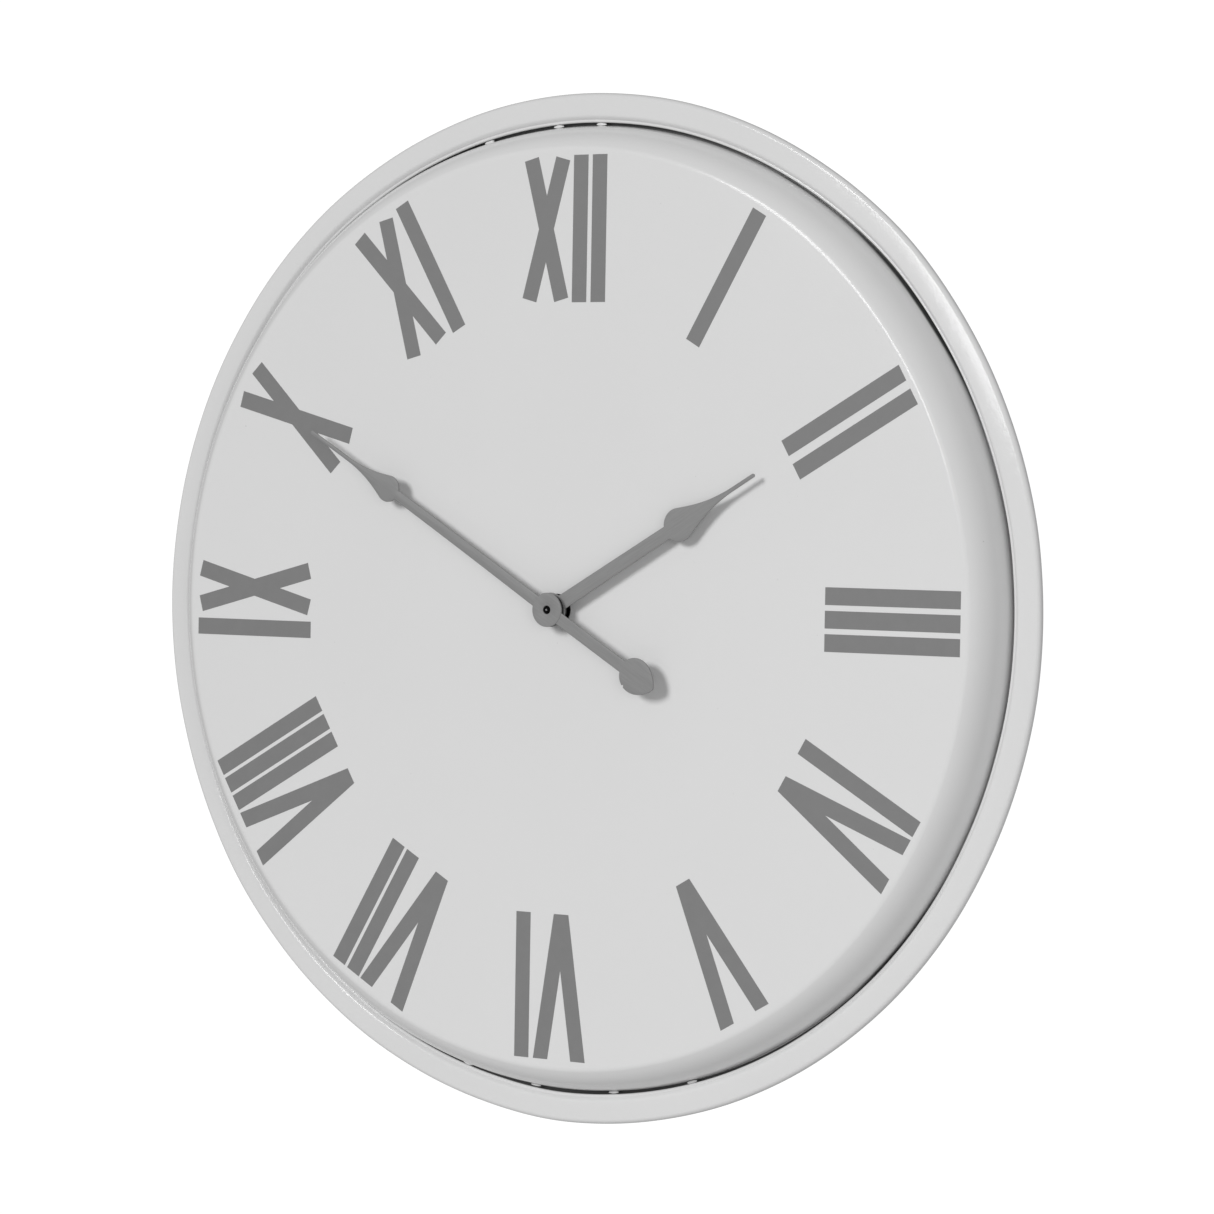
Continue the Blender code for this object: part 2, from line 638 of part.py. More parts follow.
def fixing_stack():
    """Bushing, washers and nut that clamp the movement to the dial."""
    bushing = [
        (BUSHING_BORE, FLANGE_BACK),
        (BUSHING_FLANGE_RADIUS, FLANGE_BACK),
        (BUSHING_FLANGE_RADIUS, PLATE_BACK - SEAT),
        (BUSHING_RADIUS, PLATE_BACK - SEAT),
        (BUSHING_RADIUS, BUSHING_FRONT - BUSHING_CHAMFER),
        (BUSHING_RADIUS - BUSHING_CHAMFER, BUSHING_FRONT),
        (BUSHING_BORE, BUSHING_FRONT),
    ]
    finish(turned("threaded_bushing", bushing, ARBOR), BRASS)
    bore = BUSHING_RADIUS + SEAT
    rubber = ring("rubber_washer", bore, RUBBER_WASHER_RADIUS, CASE_FRONT + SEAT, DIAL_BACK - SEAT, ARBOR)
    finish(rubber, BLACK_RUBBER)
    washer = ring("front_washer", bore, FRONT_WASHER_RADIUS, WASHER_BACK, WASHER_BACK + FRONT_WASHER, ARBOR)
    finish(washer, BLACK_STEEL)
    corner = NUT_ACROSS_FLATS / 2 / math.cos(math.pi / 6)
    outline = circle_points(corner, 6)
    hole = circle_points(bore, 24)
    nut = flat_plate("hex_nut", outline, [hole], NUT_BACK, NUT_BACK + NUT_HEIGHT, ARBOR)
    finish(nut, BLACK_STEEL)


def at_bearing(start, bearing, distance):
    """The point at a distance from start, at a clock angle in degrees."""
    angle = math.radians(bearing)
    return (start[0] + distance * math.sin(angle), start[1] + distance * math.cos(angle))


def knob_centre():
    motion = at_bearing(ARBOR, MOTION_BEARING, MOTION_DISTANCE)
    return at_bearing(motion, KNOB_BEARING, MOTION_PITCH + KNOB_PITCH)


def tip_radius(teeth, other_teeth, distance):
    """Outer radius of a wheel whose tooth tips just clear those of the wheel it drives."""
    return distance * teeth / (teeth + other_teeth) - TOOTH_GAP / 2


def wheel(name, teeth, radius, back, thickness, centre, bore=0):
    """A toothed disc with pointed teeth."""
    step = 2 * math.pi / (2 * teeth)
    depth = min(TOOTH_DEPTH, radius * 0.3)
    outline = []
    for index in range(2 * teeth):
        reach = radius - depth * (index % 2)
        outline.append((reach * math.sin(index * step), reach * math.cos(index * step)))
    holes = [circle_points(bore, 16)] if bore else []
    return flat_plate(name, outline, holes, back, back + thickness, centre)


def wheel_train():
    """Wheels and pinions from the rotor to the hour tube, each arbor one moulding."""
    third_at = at_bearing(ARBOR, THIRD_BEARING, THIRD_DISTANCE)
    fast_at = at_bearing(ARBOR, FAST_BEARING, FAST_DISTANCE)
    rotor_at = at_bearing(fast_at, ROTOR_BEARING, ROTOR_DISTANCE)
    motion_at = at_bearing(ARBOR, MOTION_BEARING, MOTION_DISTANCE)
    pinion_length = WHEEL_SHEET + 2 * PINION_EXTRA
    arbor_back = ROOM_BACK + SEAT
    arbor_front = TUB_FRONT - SEAT

    tube_front = HOUR_FRONT + SEAT / 3
    hour = ring("hour_tube_wheel", HOUR_TUBE_BORE, HOUR_TUBE_RADIUS, HOUR_LAYER, tube_front, ARBOR)
    radius = tip_radius(HOUR_TEETH, MOTION_PINION_TEETH, MOTION_DISTANCE)
    teeth = wheel("hour_teeth", HOUR_TEETH, radius, HOUR_LAYER, WHEEL_SHEET, ARBOR, HOUR_TUBE_BORE)
    finish(boolean(hour, "UNION", [teeth]), WHITE_NYLON)

    cannon = rod("minute_arbor_wheel", MINUTE_TUBE_RADIUS, CENTRE_LAYER, ARBOR_TIP, ARBOR, 24)
    radius = tip_radius(CENTRE_TEETH, THIRD_PINION_TEETH, THIRD_DISTANCE)
    centre_wheel = wheel("centre_teeth", CENTRE_TEETH, radius, CENTRE_LAYER, WHEEL_SHEET, ARBOR)
    radius = tip_radius(CANNON_TEETH, MOTION_TEETH, MOTION_DISTANCE)
    cannon_teeth = wheel("cannon_teeth", CANNON_TEETH, radius, CANNON_LAYER, WHEEL_SHEET, ARBOR)
    bore = rod("minute_bore", MINUTE_TUBE_BORE, CENTRE_LAYER - MM, ARBOR_TIP + MM, ARBOR, 16)
    boolean(cannon, "UNION", [centre_wheel, cannon_teeth])
    boolean(cannon, "DIFFERENCE", [bore])
    finish(cannon, BLACK_STEEL)

    seconds = rod("seconds_arbor_wheel", SECONDS_ARBOR_RADIUS, arbor_back, ARBOR_TIP + SEAT, ARBOR)
    radius = tip_radius(SECONDS_TEETH, FAST_PINION_TEETH, FAST_DISTANCE)
    seconds_wheel = wheel("seconds_teeth", SECONDS_TEETH, radius, SECONDS_LAYER, WHEEL_SHEET, ARBOR)
    radius = tip_radius(SECONDS_PINION_TEETH, THIRD_TEETH, THIRD_DISTANCE)
    pinion = wheel(
        "seconds_pinion", SECONDS_PINION_TEETH, radius, THIRD_LAYER - PINION_EXTRA, pinion_length, ARBOR
    )
    finish(boolean(seconds, "UNION", [seconds_wheel, pinion]), BARE_STEEL)

    third = rod("third_wheel", ARBOR_RADIUS, arbor_back, arbor_front, third_at)
    radius = tip_radius(THIRD_TEETH, SECONDS_PINION_TEETH, THIRD_DISTANCE)
    third_teeth = wheel("third_teeth", THIRD_TEETH, radius, THIRD_LAYER, WHEEL_SHEET, third_at)
    radius = tip_radius(THIRD_PINION_TEETH, CENTRE_TEETH, THIRD_DISTANCE)
    pinion = wheel(
        "third_pinion", THIRD_PINION_TEETH, radius, CENTRE_LAYER - PINION_EXTRA, pinion_length, third_at
    )
    finish(boolean(third, "UNION", [third_teeth, pinion]), WHITE_NYLON)

    fast = rod("intermediate_wheel", ARBOR_RADIUS, arbor_back, CENTRE_LAYER - SEAT, fast_at)
    radius = tip_radius(FAST_TEETH, ROTOR_PINION_TEETH, ROTOR_DISTANCE)
    fast_teeth = wheel("fast_teeth", FAST_TEETH, radius, FAST_LAYER, WHEEL_SHEET, fast_at)
    radius = tip_radius(FAST_PINION_TEETH, SECONDS_TEETH, FAST_DISTANCE)
    pinion = wheel(
        "fast_pinion", FAST_PINION_TEETH, radius, SECONDS_LAYER - PINION_EXTRA, pinion_length, fast_at
    )
    finish(boolean(fast, "UNION", [fast_teeth, pinion]), WHITE_NYLON)

    rotor = rod("rotor", ARBOR_RADIUS, arbor_back, arbor_front, rotor_at)
    radius = tip_radius(ROTOR_PINION_TEETH, FAST_TEETH, ROTOR_DISTANCE)
    pinion = wheel(
        "rotor_pinion", ROTOR_PINION_TEETH, radius, FAST_LAYER - PINION_EXTRA, pinion_length, rotor_at
    )
    magnet_front = SECONDS_LAYER + ROTOR_MAGNET_LENGTH
    magnet = rod("rotor_magnet", ROTOR_MAGNET_RADIUS, SECONDS_LAYER, magnet_front, rotor_at, 24)
    finish(boolean(rotor, "UNION", [pinion, magnet]), BLACK_STEEL)

    motion = rod("motion_work_wheel", ARBOR_RADIUS, CANNON_LAYER - PINION_EXTRA, arbor_front, motion_at)
    radius = tip_radius(MOTION_TEETH, CANNON_TEETH, MOTION_DISTANCE)
    motion_teeth = wheel("motion_teeth", MOTION_TEETH, radius, CANNON_LAYER, WHEEL_SHEET, motion_at)
    radius = tip_radius(MOTION_PINION_TEETH, HOUR_TEETH, MOTION_DISTANCE)
    length = HOUR_LAYER + WHEEL_SHEET - CANNON_LAYER
    pinion = wheel("motion_pinion", MOTION_PINION_TEETH, radius, CANNON_LAYER, length, motion_at)
    finish(boolean(motion, "UNION", [motion_teeth, pinion]), WHITE_NYLON)
    return rotor_at


def setting_knob():
    """Knurled knob behind the case, whose shaft turns the motion work."""
    centre = knob_centre()
    back = CASE_BACK - SEAT - KNOB_LENGTH
    shaft = rod("setting_knob", KNOB_SHAFT_RADIUS, back, TUB_FRONT - SEAT, centre, 24)
    grip = wheel("knob_grip", KNOB_GRIP_TEETH, KNOB_RADIUS, back, KNOB_LENGTH, centre)
    radius = KNOB_PITCH - TOOTH_GAP / 2
    pinion = wheel("knob_pinion", KNOB_PINION_TEETH, radius, CANNON_LAYER, WHEEL_SHEET, centre)
    finish(boolean(shaft, "UNION", [grip, pinion]), WHITE_NYLON)


def electrics(rotor_at):
    """Motor iron with its rotor hole and coil leg, and the coil on its bobbin."""
    half = CASE_SIDE / 2 - CASE_WALL - SEAT
    rotor_x = rotor_at[0]
    rotor_z = rotor_at[1] + HANGER_TO_ARBOR
    leg_centre = half - COIL_DROP
    leg_top = leg_centre + STATOR_LEG / 2
    iron_low = (-half + STATOR_INSET, STATOR_BACK, rotor_z - STATOR_LEG)
    iron_high = (rotor_x + STATOR_PAST_ROTOR, STATOR_FRONT, leg_top)
    iron = arbor_block("motor_stator", iron_low, iron_high)
    cut_back = STATOR_BACK - MM
    cut_front = STATOR_FRONT + MM
    rotor_hole = rod("rotor_hole", ROTOR_MAGNET_RADIUS + RUNNING, cut_back, cut_front, rotor_at, 24)
    window_low = (-half + WINDOW_INSET, cut_back, rotor_z - WINDOW_DROP)
    window_high = (rotor_x - WINDOW_TO_ROTOR, cut_front, leg_top - STATOR_LEG)
    window = arbor_block("coil_window", window_low, window_high)
    boolean(iron, "DIFFERENCE", [rotor_hole, window])
    finish(iron, BARE_STEEL)
    coil_depth = (STATOR_BACK + STATOR_FRONT) / 2
    bobbin_outer = COIL_BORE + COIL_TUBE
    winding_inner = bobbin_outer + SEAT
    for name, inner, outer, inset, look in (
        ("coil_bobbin", COIL_BORE, bobbin_outer, 0, WHITE_NYLON),
        ("coil_winding", winding_inner, COIL_OUTER, COIL_CHEEK, COPPER),
    ):
        low_x = COIL_LEFT + inset
        high_x = COIL_LEFT + COIL_LENGTH - inset
        tube = arbor_block(
            name,
            (low_x, coil_depth - outer, leg_centre - outer),
            (high_x, coil_depth + outer, leg_centre + outer),
        )
        hollow = arbor_block(
            name + "_hollow",
            (low_x - MM, coil_depth - inner, leg_centre - inner),
            (high_x + MM, coil_depth + inner, leg_centre + inner),
        )
        finish(boolean(tube, "DIFFERENCE", [hollow]), look)


def battery_and_contacts():
    """One AA cell across the bottom of the case, between two sprung contacts."""
    centre_z = -BAY_CENTRE_DROP
    forward = CASE_BACK + BATTERY_DEPTH + BATTERY_RADIUS
    bm = bmesh.new()
    half = BATTERY_LENGTH / 2
    profile = [
        (0, half + BATTERY_NUB),
        (BATTERY_NUB_RADIUS, half + BATTERY_NUB),
        (BATTERY_NUB_RADIUS, half),
        (BATTERY_RADIUS - BATTERY_EDGE, half),
        (BATTERY_RADIUS, half - BATTERY_EDGE),
        (BATTERY_RADIUS, -half + BATTERY_EDGE),
        (BATTERY_RADIUS - BATTERY_EDGE, -half),
        (0, -half),
    ]
    points = [bm.verts.new((radius, 0, along)) for radius, along in profile]
    edges = [bm.edges.new(pair) for pair in zip(points, points[1:])]
    bmesh.ops.spin(
        bm,
        geom=points + edges,
        cent=(0, 0, 0),
        axis=(0, 0, 1),
        angle=2 * math.pi,
        steps=28,
        use_merge=True,
    )
    bmesh.ops.remove_doubles(bm, verts=bm.verts, dist=0.000001)
    bmesh.ops.recalc_face_normals(bm, faces=bm.faces)
    mesh = bpy.data.meshes.new("aa_battery")
    bm.to_mesh(mesh)
    bm.free()
    cell = bpy.data.objects.new("aa_battery", mesh)
    PARTS.objects.link(cell)
    cell.rotation_euler = (0, math.pi / 2, 0)
    cell.location = (-BATTERY_NUB / 2, -forward, centre_z - HANGER_TO_ARBOR)
    finish(cell, BATTERY_SLEEVE)
    near = half + BATTERY_NUB / 2 + SEAT
    far = CASE_SIDE / 2 - CASE_WALL - SEAT / 2
    contact_half = CONTACT_SIDE / 2
    for name, side in (("contact_positive", 1), ("contact_negative", -1)):
        ends = sorted((side * near, side * far))
        low = (ends[0], forward - contact_half, centre_z - contact_half)
        high = (ends[1], forward + contact_half, centre_z + contact_half)
        finish(arbor_block(name, low, high), BARE_STEEL)


def circuit():
    """Board on the left side of the wheel room, with a crystal and a sealed chip."""
    left = -CASE_SIDE / 2 + CASE_WALL + SEAT
    back = ROOM_BACK + SEAT
    bottom = -ROOM_BELOW + SEAT
    board_front = back + BOARD_SIZE[1] + SEAT
    for name, at, forward, size, edge, look in (
        ("circuit_board", (0, 0), back, BOARD_SIZE, 0, GREEN_BOARD),
        ("quartz_crystal", CRYSTAL_AT, board_front, CRYSTAL_SIZE, CRYSTAL_EDGE, BARE_STEEL),
        ("clock_chip", CHIP_AT, board_front, CHIP_SIZE, CHIP_EDGE, BLACK_PLASTIC),
    ):
        low = (left + at[0], forward, bottom + at[1])
        high = tuple(corner + length for corner, length in zip(low, size))
        finish(arbor_block(name, low, high, edge), look)


clear_scene()
PARTS = new_collection("wall_clock")
CUTTERS = new_collection("cutters")
ARBOR = (0, -HANGER_TO_ARBOR)
rim_ring()
dial_pan()
weld_tacks()
hanger()
front_plate()
movement_case()
fixing_stack()
rotor_place = wheel_train()
setting_knob()
electrics(rotor_place)
circuit()
battery_and_contacts()
collets()
hour_hand()
minute_hand()
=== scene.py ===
"""Looks of a large round metal wall clock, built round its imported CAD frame.

Lengths are metres. The wall is the plane Y = 0, the front faces -Y and +Z is up. Angles on the
dial are clockwise from twelve as the viewer sees them. A "forward" value is a distance in front
of the wall, so Y = -forward.
"""
from __future__ import annotations

import logging
import math
from dataclasses import dataclass
from enum import Enum

import bpy
import numpy as np
from mathutils import Matrix, Vector


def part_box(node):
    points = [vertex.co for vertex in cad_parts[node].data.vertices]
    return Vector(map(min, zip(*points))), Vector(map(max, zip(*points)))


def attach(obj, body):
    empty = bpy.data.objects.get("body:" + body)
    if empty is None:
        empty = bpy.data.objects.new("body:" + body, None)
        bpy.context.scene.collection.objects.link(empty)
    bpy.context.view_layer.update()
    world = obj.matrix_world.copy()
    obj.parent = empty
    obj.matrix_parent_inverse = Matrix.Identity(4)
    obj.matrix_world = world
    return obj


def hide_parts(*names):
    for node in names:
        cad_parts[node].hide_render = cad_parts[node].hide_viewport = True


MM = 0.001
CASE_BODY = "clock_case"
HOUR_BODY = "hour_work"
MINUTE_BODY = "minute_work"
LOG = logging.getLogger("wall_clock")

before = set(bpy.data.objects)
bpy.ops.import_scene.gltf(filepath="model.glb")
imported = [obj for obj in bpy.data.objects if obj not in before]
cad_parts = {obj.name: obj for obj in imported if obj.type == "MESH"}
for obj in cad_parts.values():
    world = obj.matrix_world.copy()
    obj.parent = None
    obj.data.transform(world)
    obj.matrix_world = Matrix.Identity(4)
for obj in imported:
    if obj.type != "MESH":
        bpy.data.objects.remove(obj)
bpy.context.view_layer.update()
ARBOR = (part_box("minute_arbor_wheel")[0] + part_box("minute_arbor_wheel")[1]) / 2
FLANGE_WIDTH = 7.0 * MM
PAN_RADIUS = (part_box("dial_pan")[1].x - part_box("dial_pan")[0].x) / 2 - FLANGE_WIDTH
PAN_DEPTH = -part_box("dial_pan")[0].y


# --------------------------------------------------------------------------- shader helpers


class Wire:
    """A shader socket with arithmetic, so that maths reads as an expression."""

    def __init__(self, graph: Graph, socket: bpy.types.NodeSocket) -> None:
        """Wraps one output socket of a graph."""
        self.graph = graph
        self.socket = socket

    def _math(self, operation: str, *values: Wire | float) -> Wire:
        """Adds one Math node and gives its output."""
        return self.graph.node("ShaderNodeMath", {"operation": operation}, dict(enumerate(values)))

    def __add__(self, other: Wire | float) -> Wire:
        """self + other."""
        return self._math("ADD", self, other)

    def __radd__(self, other: float) -> Wire:
        """other + self."""
        return self._math("ADD", other, self)

    def __sub__(self, other: Wire | float) -> Wire:
        """self - other."""
        return self._math("SUBTRACT", self, other)

    def __rsub__(self, other: float) -> Wire:
        """other - self."""
        return self._math("SUBTRACT", other, self)

    def __mul__(self, other: Wire | float) -> Wire:
        """self * other."""
        return self._math("MULTIPLY", self, other)

    def __rmul__(self, other: float) -> Wire:
        """other * self."""
        return self._math("MULTIPLY", other, self)

    def __pow__(self, other: Wire | float) -> Wire:
        """self to the power of other."""
        return self._math("POWER", self, other)

    def clamp(self) -> Wire:
        """Limits the value to 0..1."""
        return self.graph.node("ShaderNodeClamp", {}, {"Value": self}, "Result")

    def ramp(self, low: float, high: float) -> Wire:
        """Smooth step.

        Args:
            low: where the step is still 0.
            high: where it has reached 1.

        Returns:
            The step's value.
        """
        settings = {"interpolation_type": "SMOOTHSTEP"}
        inputs = {"Value": self, "From Min": low, "From Max": high}
        return self.graph.node("ShaderNodeMapRange", settings, inputs, "Result")


class Graph:
    """The node tree of one material or world."""

    def __init__(self, name: str, world: bool = False) -> None:
        """Makes a new owner, whose output is its plain shader.

        Args:
            name: the owner's name.
            world: whether it is a world, with a Background, and not a material.
        """
        self.owner = (bpy.data.worlds if world else bpy.data.materials).new(name)
        self.owner.use_nodes = True
        self.tree = self.owner.node_tree
        self.shader = self.tree.nodes["Background" if world else "Principled BSDF"]

    def node(
        self,
        kind: str,
        settings: dict[str, object],
        inputs: dict[str | int, object],
        output: str | int = 0,
    ) -> Wire:
        """Adds a node.

        Args:
            kind: Blender's node type.
            settings: attributes, set first.
            inputs: values or wires by socket name or number.
            output: the socket that is returned.

        Returns:
            The output socket, wrapped.
        """
        made = self.tree.nodes.new(kind)
        for key, value in settings.items():
            setattr(made, key, value)
        for key, value in inputs.items():
            self.feed(made.inputs[key], value)
        return Wire(self, made.outputs[output])

    def feed(self, socket: bpy.types.NodeSocket, value: object) -> None:
        """Links a wire to a socket, or sets the socket's own value.

        Args:
            socket: the input socket.
            value: a wire, a number or a colour.
        """
        if isinstance(value, Wire):
            self.tree.links.new(value.socket, socket)
        else:
            socket.default_value = value

    def place(self, scale: tuple[float, float, float] = (1, 1, 1), turn: float = 0.0) -> Wire:
        """Object coordinates, turned about the arbor's direction and then stretched.

        Args:
            scale: stretch along each axis.
            turn: clockwise turn of the pattern on the dial in degrees.

        Returns:
            The coordinates.
        """
        source = self.node("ShaderNodeTexCoord", {}, {}, "Object")
        turned = self.node(
            "ShaderNodeVectorRotate",
            {"rotation_type": "Y_AXIS"},
            {"Vector": source, "Angle": -math.radians(turn)},
        )
        return self.node("ShaderNodeVectorMath", {"operation": "MULTIPLY"}, {0: turned, 1: scale})

    def axis(self, place: Wire, name: str) -> Wire:
        """One of X, Y and Z of a place."""
        return self.node("ShaderNodeSeparateXYZ", {}, {0: place}, name)

    def from_arbor(self, place: Wire) -> tuple[Wire, Wire]:
        """How far a place lies to the right of the arbor and above it."""
        return self.axis(place, "X") - ARBOR.x, self.axis(place, "Z") - ARBOR.z

    def noise(self, place: Wire, scale: float, detail: float = 2.0, rough: float = 0.5) -> Wire:
        """Soft random field around 0.5, with so many lumps a metre."""
        inputs = {"Vector": place, "Scale": scale, "Detail": detail, "Roughness": rough}
        return self.node("ShaderNodeTexNoise", {}, inputs, "Fac")

    def blend(self, factor: Wire, first: object, second: object) -> Wire:
        """Mixes two colours."""
        settings = {"data_type": "RGBA"}
        return self.node("ShaderNodeMix", settings, {0: factor, 6: first, 7: second}, 2)

    def bump(self, height: Wire, distance: float, strength: float = 1.0) -> None:
        """Feeds a height field to the shader's normal.

        Args:
            height: the field.
            distance: what a height of one stands for, in metres.
            strength: how much of it is used.
        """
        inputs = {"Height": height, "Distance": distance, "Strength": strength}
        normal = self.node("ShaderNodeBump", {}, inputs, "Normal")
        self.feed(self.shader.inputs["Normal"], normal)

    def set(self, **values: object) -> None:
        """Feeds the shader's sockets, named with underscores for spaces."""
        for key, value in values.items():
            self.feed(self.shader.inputs[key.replace("_", " ")], value)


def grey(value: float) -> tuple[float, float, float, float]:
    """An opaque neutral colour."""
    return (value, value, value, 1.0)


# --------------------------------------------------------------------------- finishes


@dataclass(frozen=True)
class SatinPaint:
    """Sprayed paint on sheet metal: faint orange peel, cloudy sheen and a few tiny specks.

    Peel and dents are heights in metres, and show on the upper right half only. The front of the
    rear flange, deep in the gap, takes a share of near-black painted shade, standing in for the
    gap's shade.
    """

    name: str
    tone: float
    roughness: float
    peel: float = 0.00003
    dents: float = 0.00001
    # The next two fields set painted shade: how much of the flange front inside the gap turns near
    # black, and to what tone.
    gap_shade: float = 0.0
    gap_shade_tone: float = 0.02

    def make(self) -> bpy.types.Material:
        """Builds the material.

        Returns:
            The new material.
        """
        graph = Graph(self.name)
        here = graph.place()
        cloud = graph.noise(here, 9.0, 3.0)
        x, z = graph.from_arbor(here)
        forward = 0.0 - graph.axis(here, "Y")
        peel = graph.noise(here, 900.0, 2.0) * self.peel
        dents = graph.noise(here, 130.0, 3.0, 0.6) * self.dents
        upper_right = (x + z).ramp(0.0, 0.1)
        speck = graph.noise(here, 420.0, 1.0).ramp(0.82, 0.85)
        base = graph.blend(cloud, grey(self.tone * 0.985), grey(self.tone * 1.015))
        # Painted shade: the front of the rear flange, past the pan's side and inside the gap behind
        # the rim, is blended towards near black.
        past_side = ((x * x + z * z) ** 0.5).ramp(PAN_RADIUS - 0.2 * MM, PAN_RADIUS + 0.2 * MM)
        flange_front_shade = past_side * forward.ramp(0.3 * MM, 0.6 * MM)
        base = graph.blend(flange_front_shade * self.gap_shade, base, grey(self.gap_shade_tone))
        graph.set(
            Base_Color=graph.blend(speck, base, grey(self.tone * 0.8)),
            Roughness=self.roughness - 0.05 + 0.1 * cloud,
        )
        graph.bump((peel + dents) * (0.03 + 0.97 * upper_right), 1.0)
        return graph.owner


@dataclass(frozen=True)
class BrushedPaint:
    """Thin grey paint over a stamped hand, with faint streaks along its length."""

    name: str
    tone: float
    bearing: float

    def make(self) -> bpy.types.Material:
        """Builds the material.

        Returns:
            The new material.
        """
        graph = Graph(self.name)
        along = graph.place((1.0, 1.0, 0.05), self.bearing)
        streak = graph.noise(along, 1300.0, 3.0, 0.6)
        cloud = graph.noise(graph.place(), 40.0, 2.0)
        base = graph.blend(streak.ramp(0.3, 0.7), grey(self.tone * 0.95), grey(self.tone * 1.05))
        graph.set(Base_Color=base, Roughness=0.42 + 0.16 * cloud)
        graph.bump(streak, 0.00002, 0.5)
        return graph.owner


@dataclass(frozen=True)
class StencilPaint:
    """Flat grey paint laid through a stencil, a little mottled.

    White overspray starts so far out at the lower left that hardly more than the farthest
    corner of a numeral takes a trace of it.
    """

    name: str
    tone: float
    dust: float = 0.4
    dust_tone: float = 0.74
    dust_from: float = 264.2 * MM
    dust_width: float = 3.0 * MM
    dust_wander: float = 2.0 * MM

    def make(self) -> bpy.types.Material:
        """Builds the material.

        Returns:
            The new material.
        """
        graph = Graph(self.name)
        here = graph.place()
        mottle = graph.noise(here, 160.0, 4.0, 0.6)
        grain = graph.noise(here, 2200.0, 2.0)
        base = graph.blend(mottle, grey(self.tone * 0.94), grey(self.tone * 1.06))
        x, z = graph.from_arbor(here)
        reach = (x * x + z * z) ** 0.5 + self.dust_wander * graph.noise(here, 300.0, 3.0)
        lower_left = (0.0 - z).ramp(0.09, 0.13) * (0.0 - x).ramp(-0.05, -0.02)
        ends = reach.ramp(self.dust_from, self.dust_from + self.dust_width)
        graph.set(
            Base_Color=graph.blend(ends * lower_left * self.dust, base, grey(self.dust_tone)),
            Roughness=0.5 + 0.15 * mottle,
        )
        graph.bump(grain, 0.00001, 0.4)
        return graph.owner


@dataclass(frozen=True)
class Moulded:
    """Injection-moulded plastic or rubber with a spark-eroded grain."""

    name: str
    colour: tuple[float, float, float]
    roughness: float
    grain: float = 0.00002

    def make(self) -> bpy.types.Material:
        """Builds the material.

        Returns:
            The new material.
        """
        graph = Graph(self.name)
        here = graph.place()
        grain = graph.noise(here, 3200.0, 2.0)
        smear = graph.noise(here, 60.0, 3.0)
        low = tuple(0.88 * part for part in self.colour) + (1.0,)
        high = tuple(min(1.0, 1.12 * part) for part in self.colour) + (1.0,)
        graph.set(
            Base_Color=graph.blend(smear, low, high),
            Roughness=self.roughness - 0.06 + 0.12 * smear,
        )
        graph.bump(grain, self.grain, 0.5)
        return graph.owner


@dataclass(frozen=True)
class Metal:
    """Bare or plated metal with turning or rolling marks."""

    name: str
    colour: tuple[float, float, float]
    roughness: float
    stretch: tuple[float, float, float] = (1.0, 1.0, 0.08)

    def make(self) -> bpy.types.Material:
        """Builds the material.

        Returns:
            The new material.
        """
        graph = Graph(self.name)
        marks = graph.noise(graph.place(self.stretch), 1500.0, 3.0, 0.6)
        stain = graph.noise(graph.place(), 50.0, 3.0)
        low = tuple(0.8 * part for part in self.colour) + (1.0,)
        high = tuple(min(1.0, 1.08 * part) for part in self.colour) + (1.0,)
        graph.set(
            Base_Color=graph.blend(stain, low, high),
            Metallic=1.0,
            Roughness=self.roughness - 0.05 + 0.2 * marks,
        )
        graph.bump(marks, 0.00001, 0.5)
        return graph.owner


class Finish(Enum):
    """Every finish of the clock."""

    # The pan's share of 0.9 is painted shade on the flange front in the gap behind the rim.
    PAN = SatinPaint("pan_paint", 0.75, 0.15, gap_shade=0.9)
    RIM = SatinPaint("rim_paint", 0.73, 0.11, 0.00003, 0.00006)
    WELD = SatinPaint("weld_paint", 0.74, 0.34, 0.00008)
    NUMERAL = StencilPaint("numeral_paint", 0.212)
    HOUR = BrushedPaint("hour_hand_paint", 0.25, 59.35)
    MINUTE = BrushedPaint("minute_hand_paint", 0.25, 300.8)
    BLACK_PLASTIC = Moulded("black_plastic", (0.018, 0.018, 0.018), 0.42)
    COLLET = Moulded("collet_plastic", (0.012, 0.012, 0.012), 0.5)
    RUBBER = Moulded("washer_rubber", (0.02, 0.02, 0.02), 0.75)
    NYLON = Moulded("natural_nylon", (0.78, 0.76, 0.7), 0.4)
    BOARD = Moulded("circuit_lacquer", (0.03, 0.2, 0.07), 0.35)
    SLEEVE = Moulded("cell_sleeve", (0.06, 0.065, 0.075), 0.25, 0.000005)
    BLACK_STEEL = Metal("blackened_steel", (0.012, 0.012, 0.013), 0.35)
    STEEL = Metal("rolled_steel", (0.55, 0.55, 0.56), 0.3)
    BRASS = Metal("turned_brass", (0.75, 0.55, 0.25), 0.28)
    COPPER = Metal("enamelled_copper", (0.72, 0.32, 0.16), 0.3, (0.05, 1.0, 1.0))

    def material(self) -> bpy.types.Material:
        """The material, made on first use."""
        found = bpy.data.materials.get(self.value.name)
        return found or self.value.make()


# --------------------------------------------------------------------------- mesh helpers


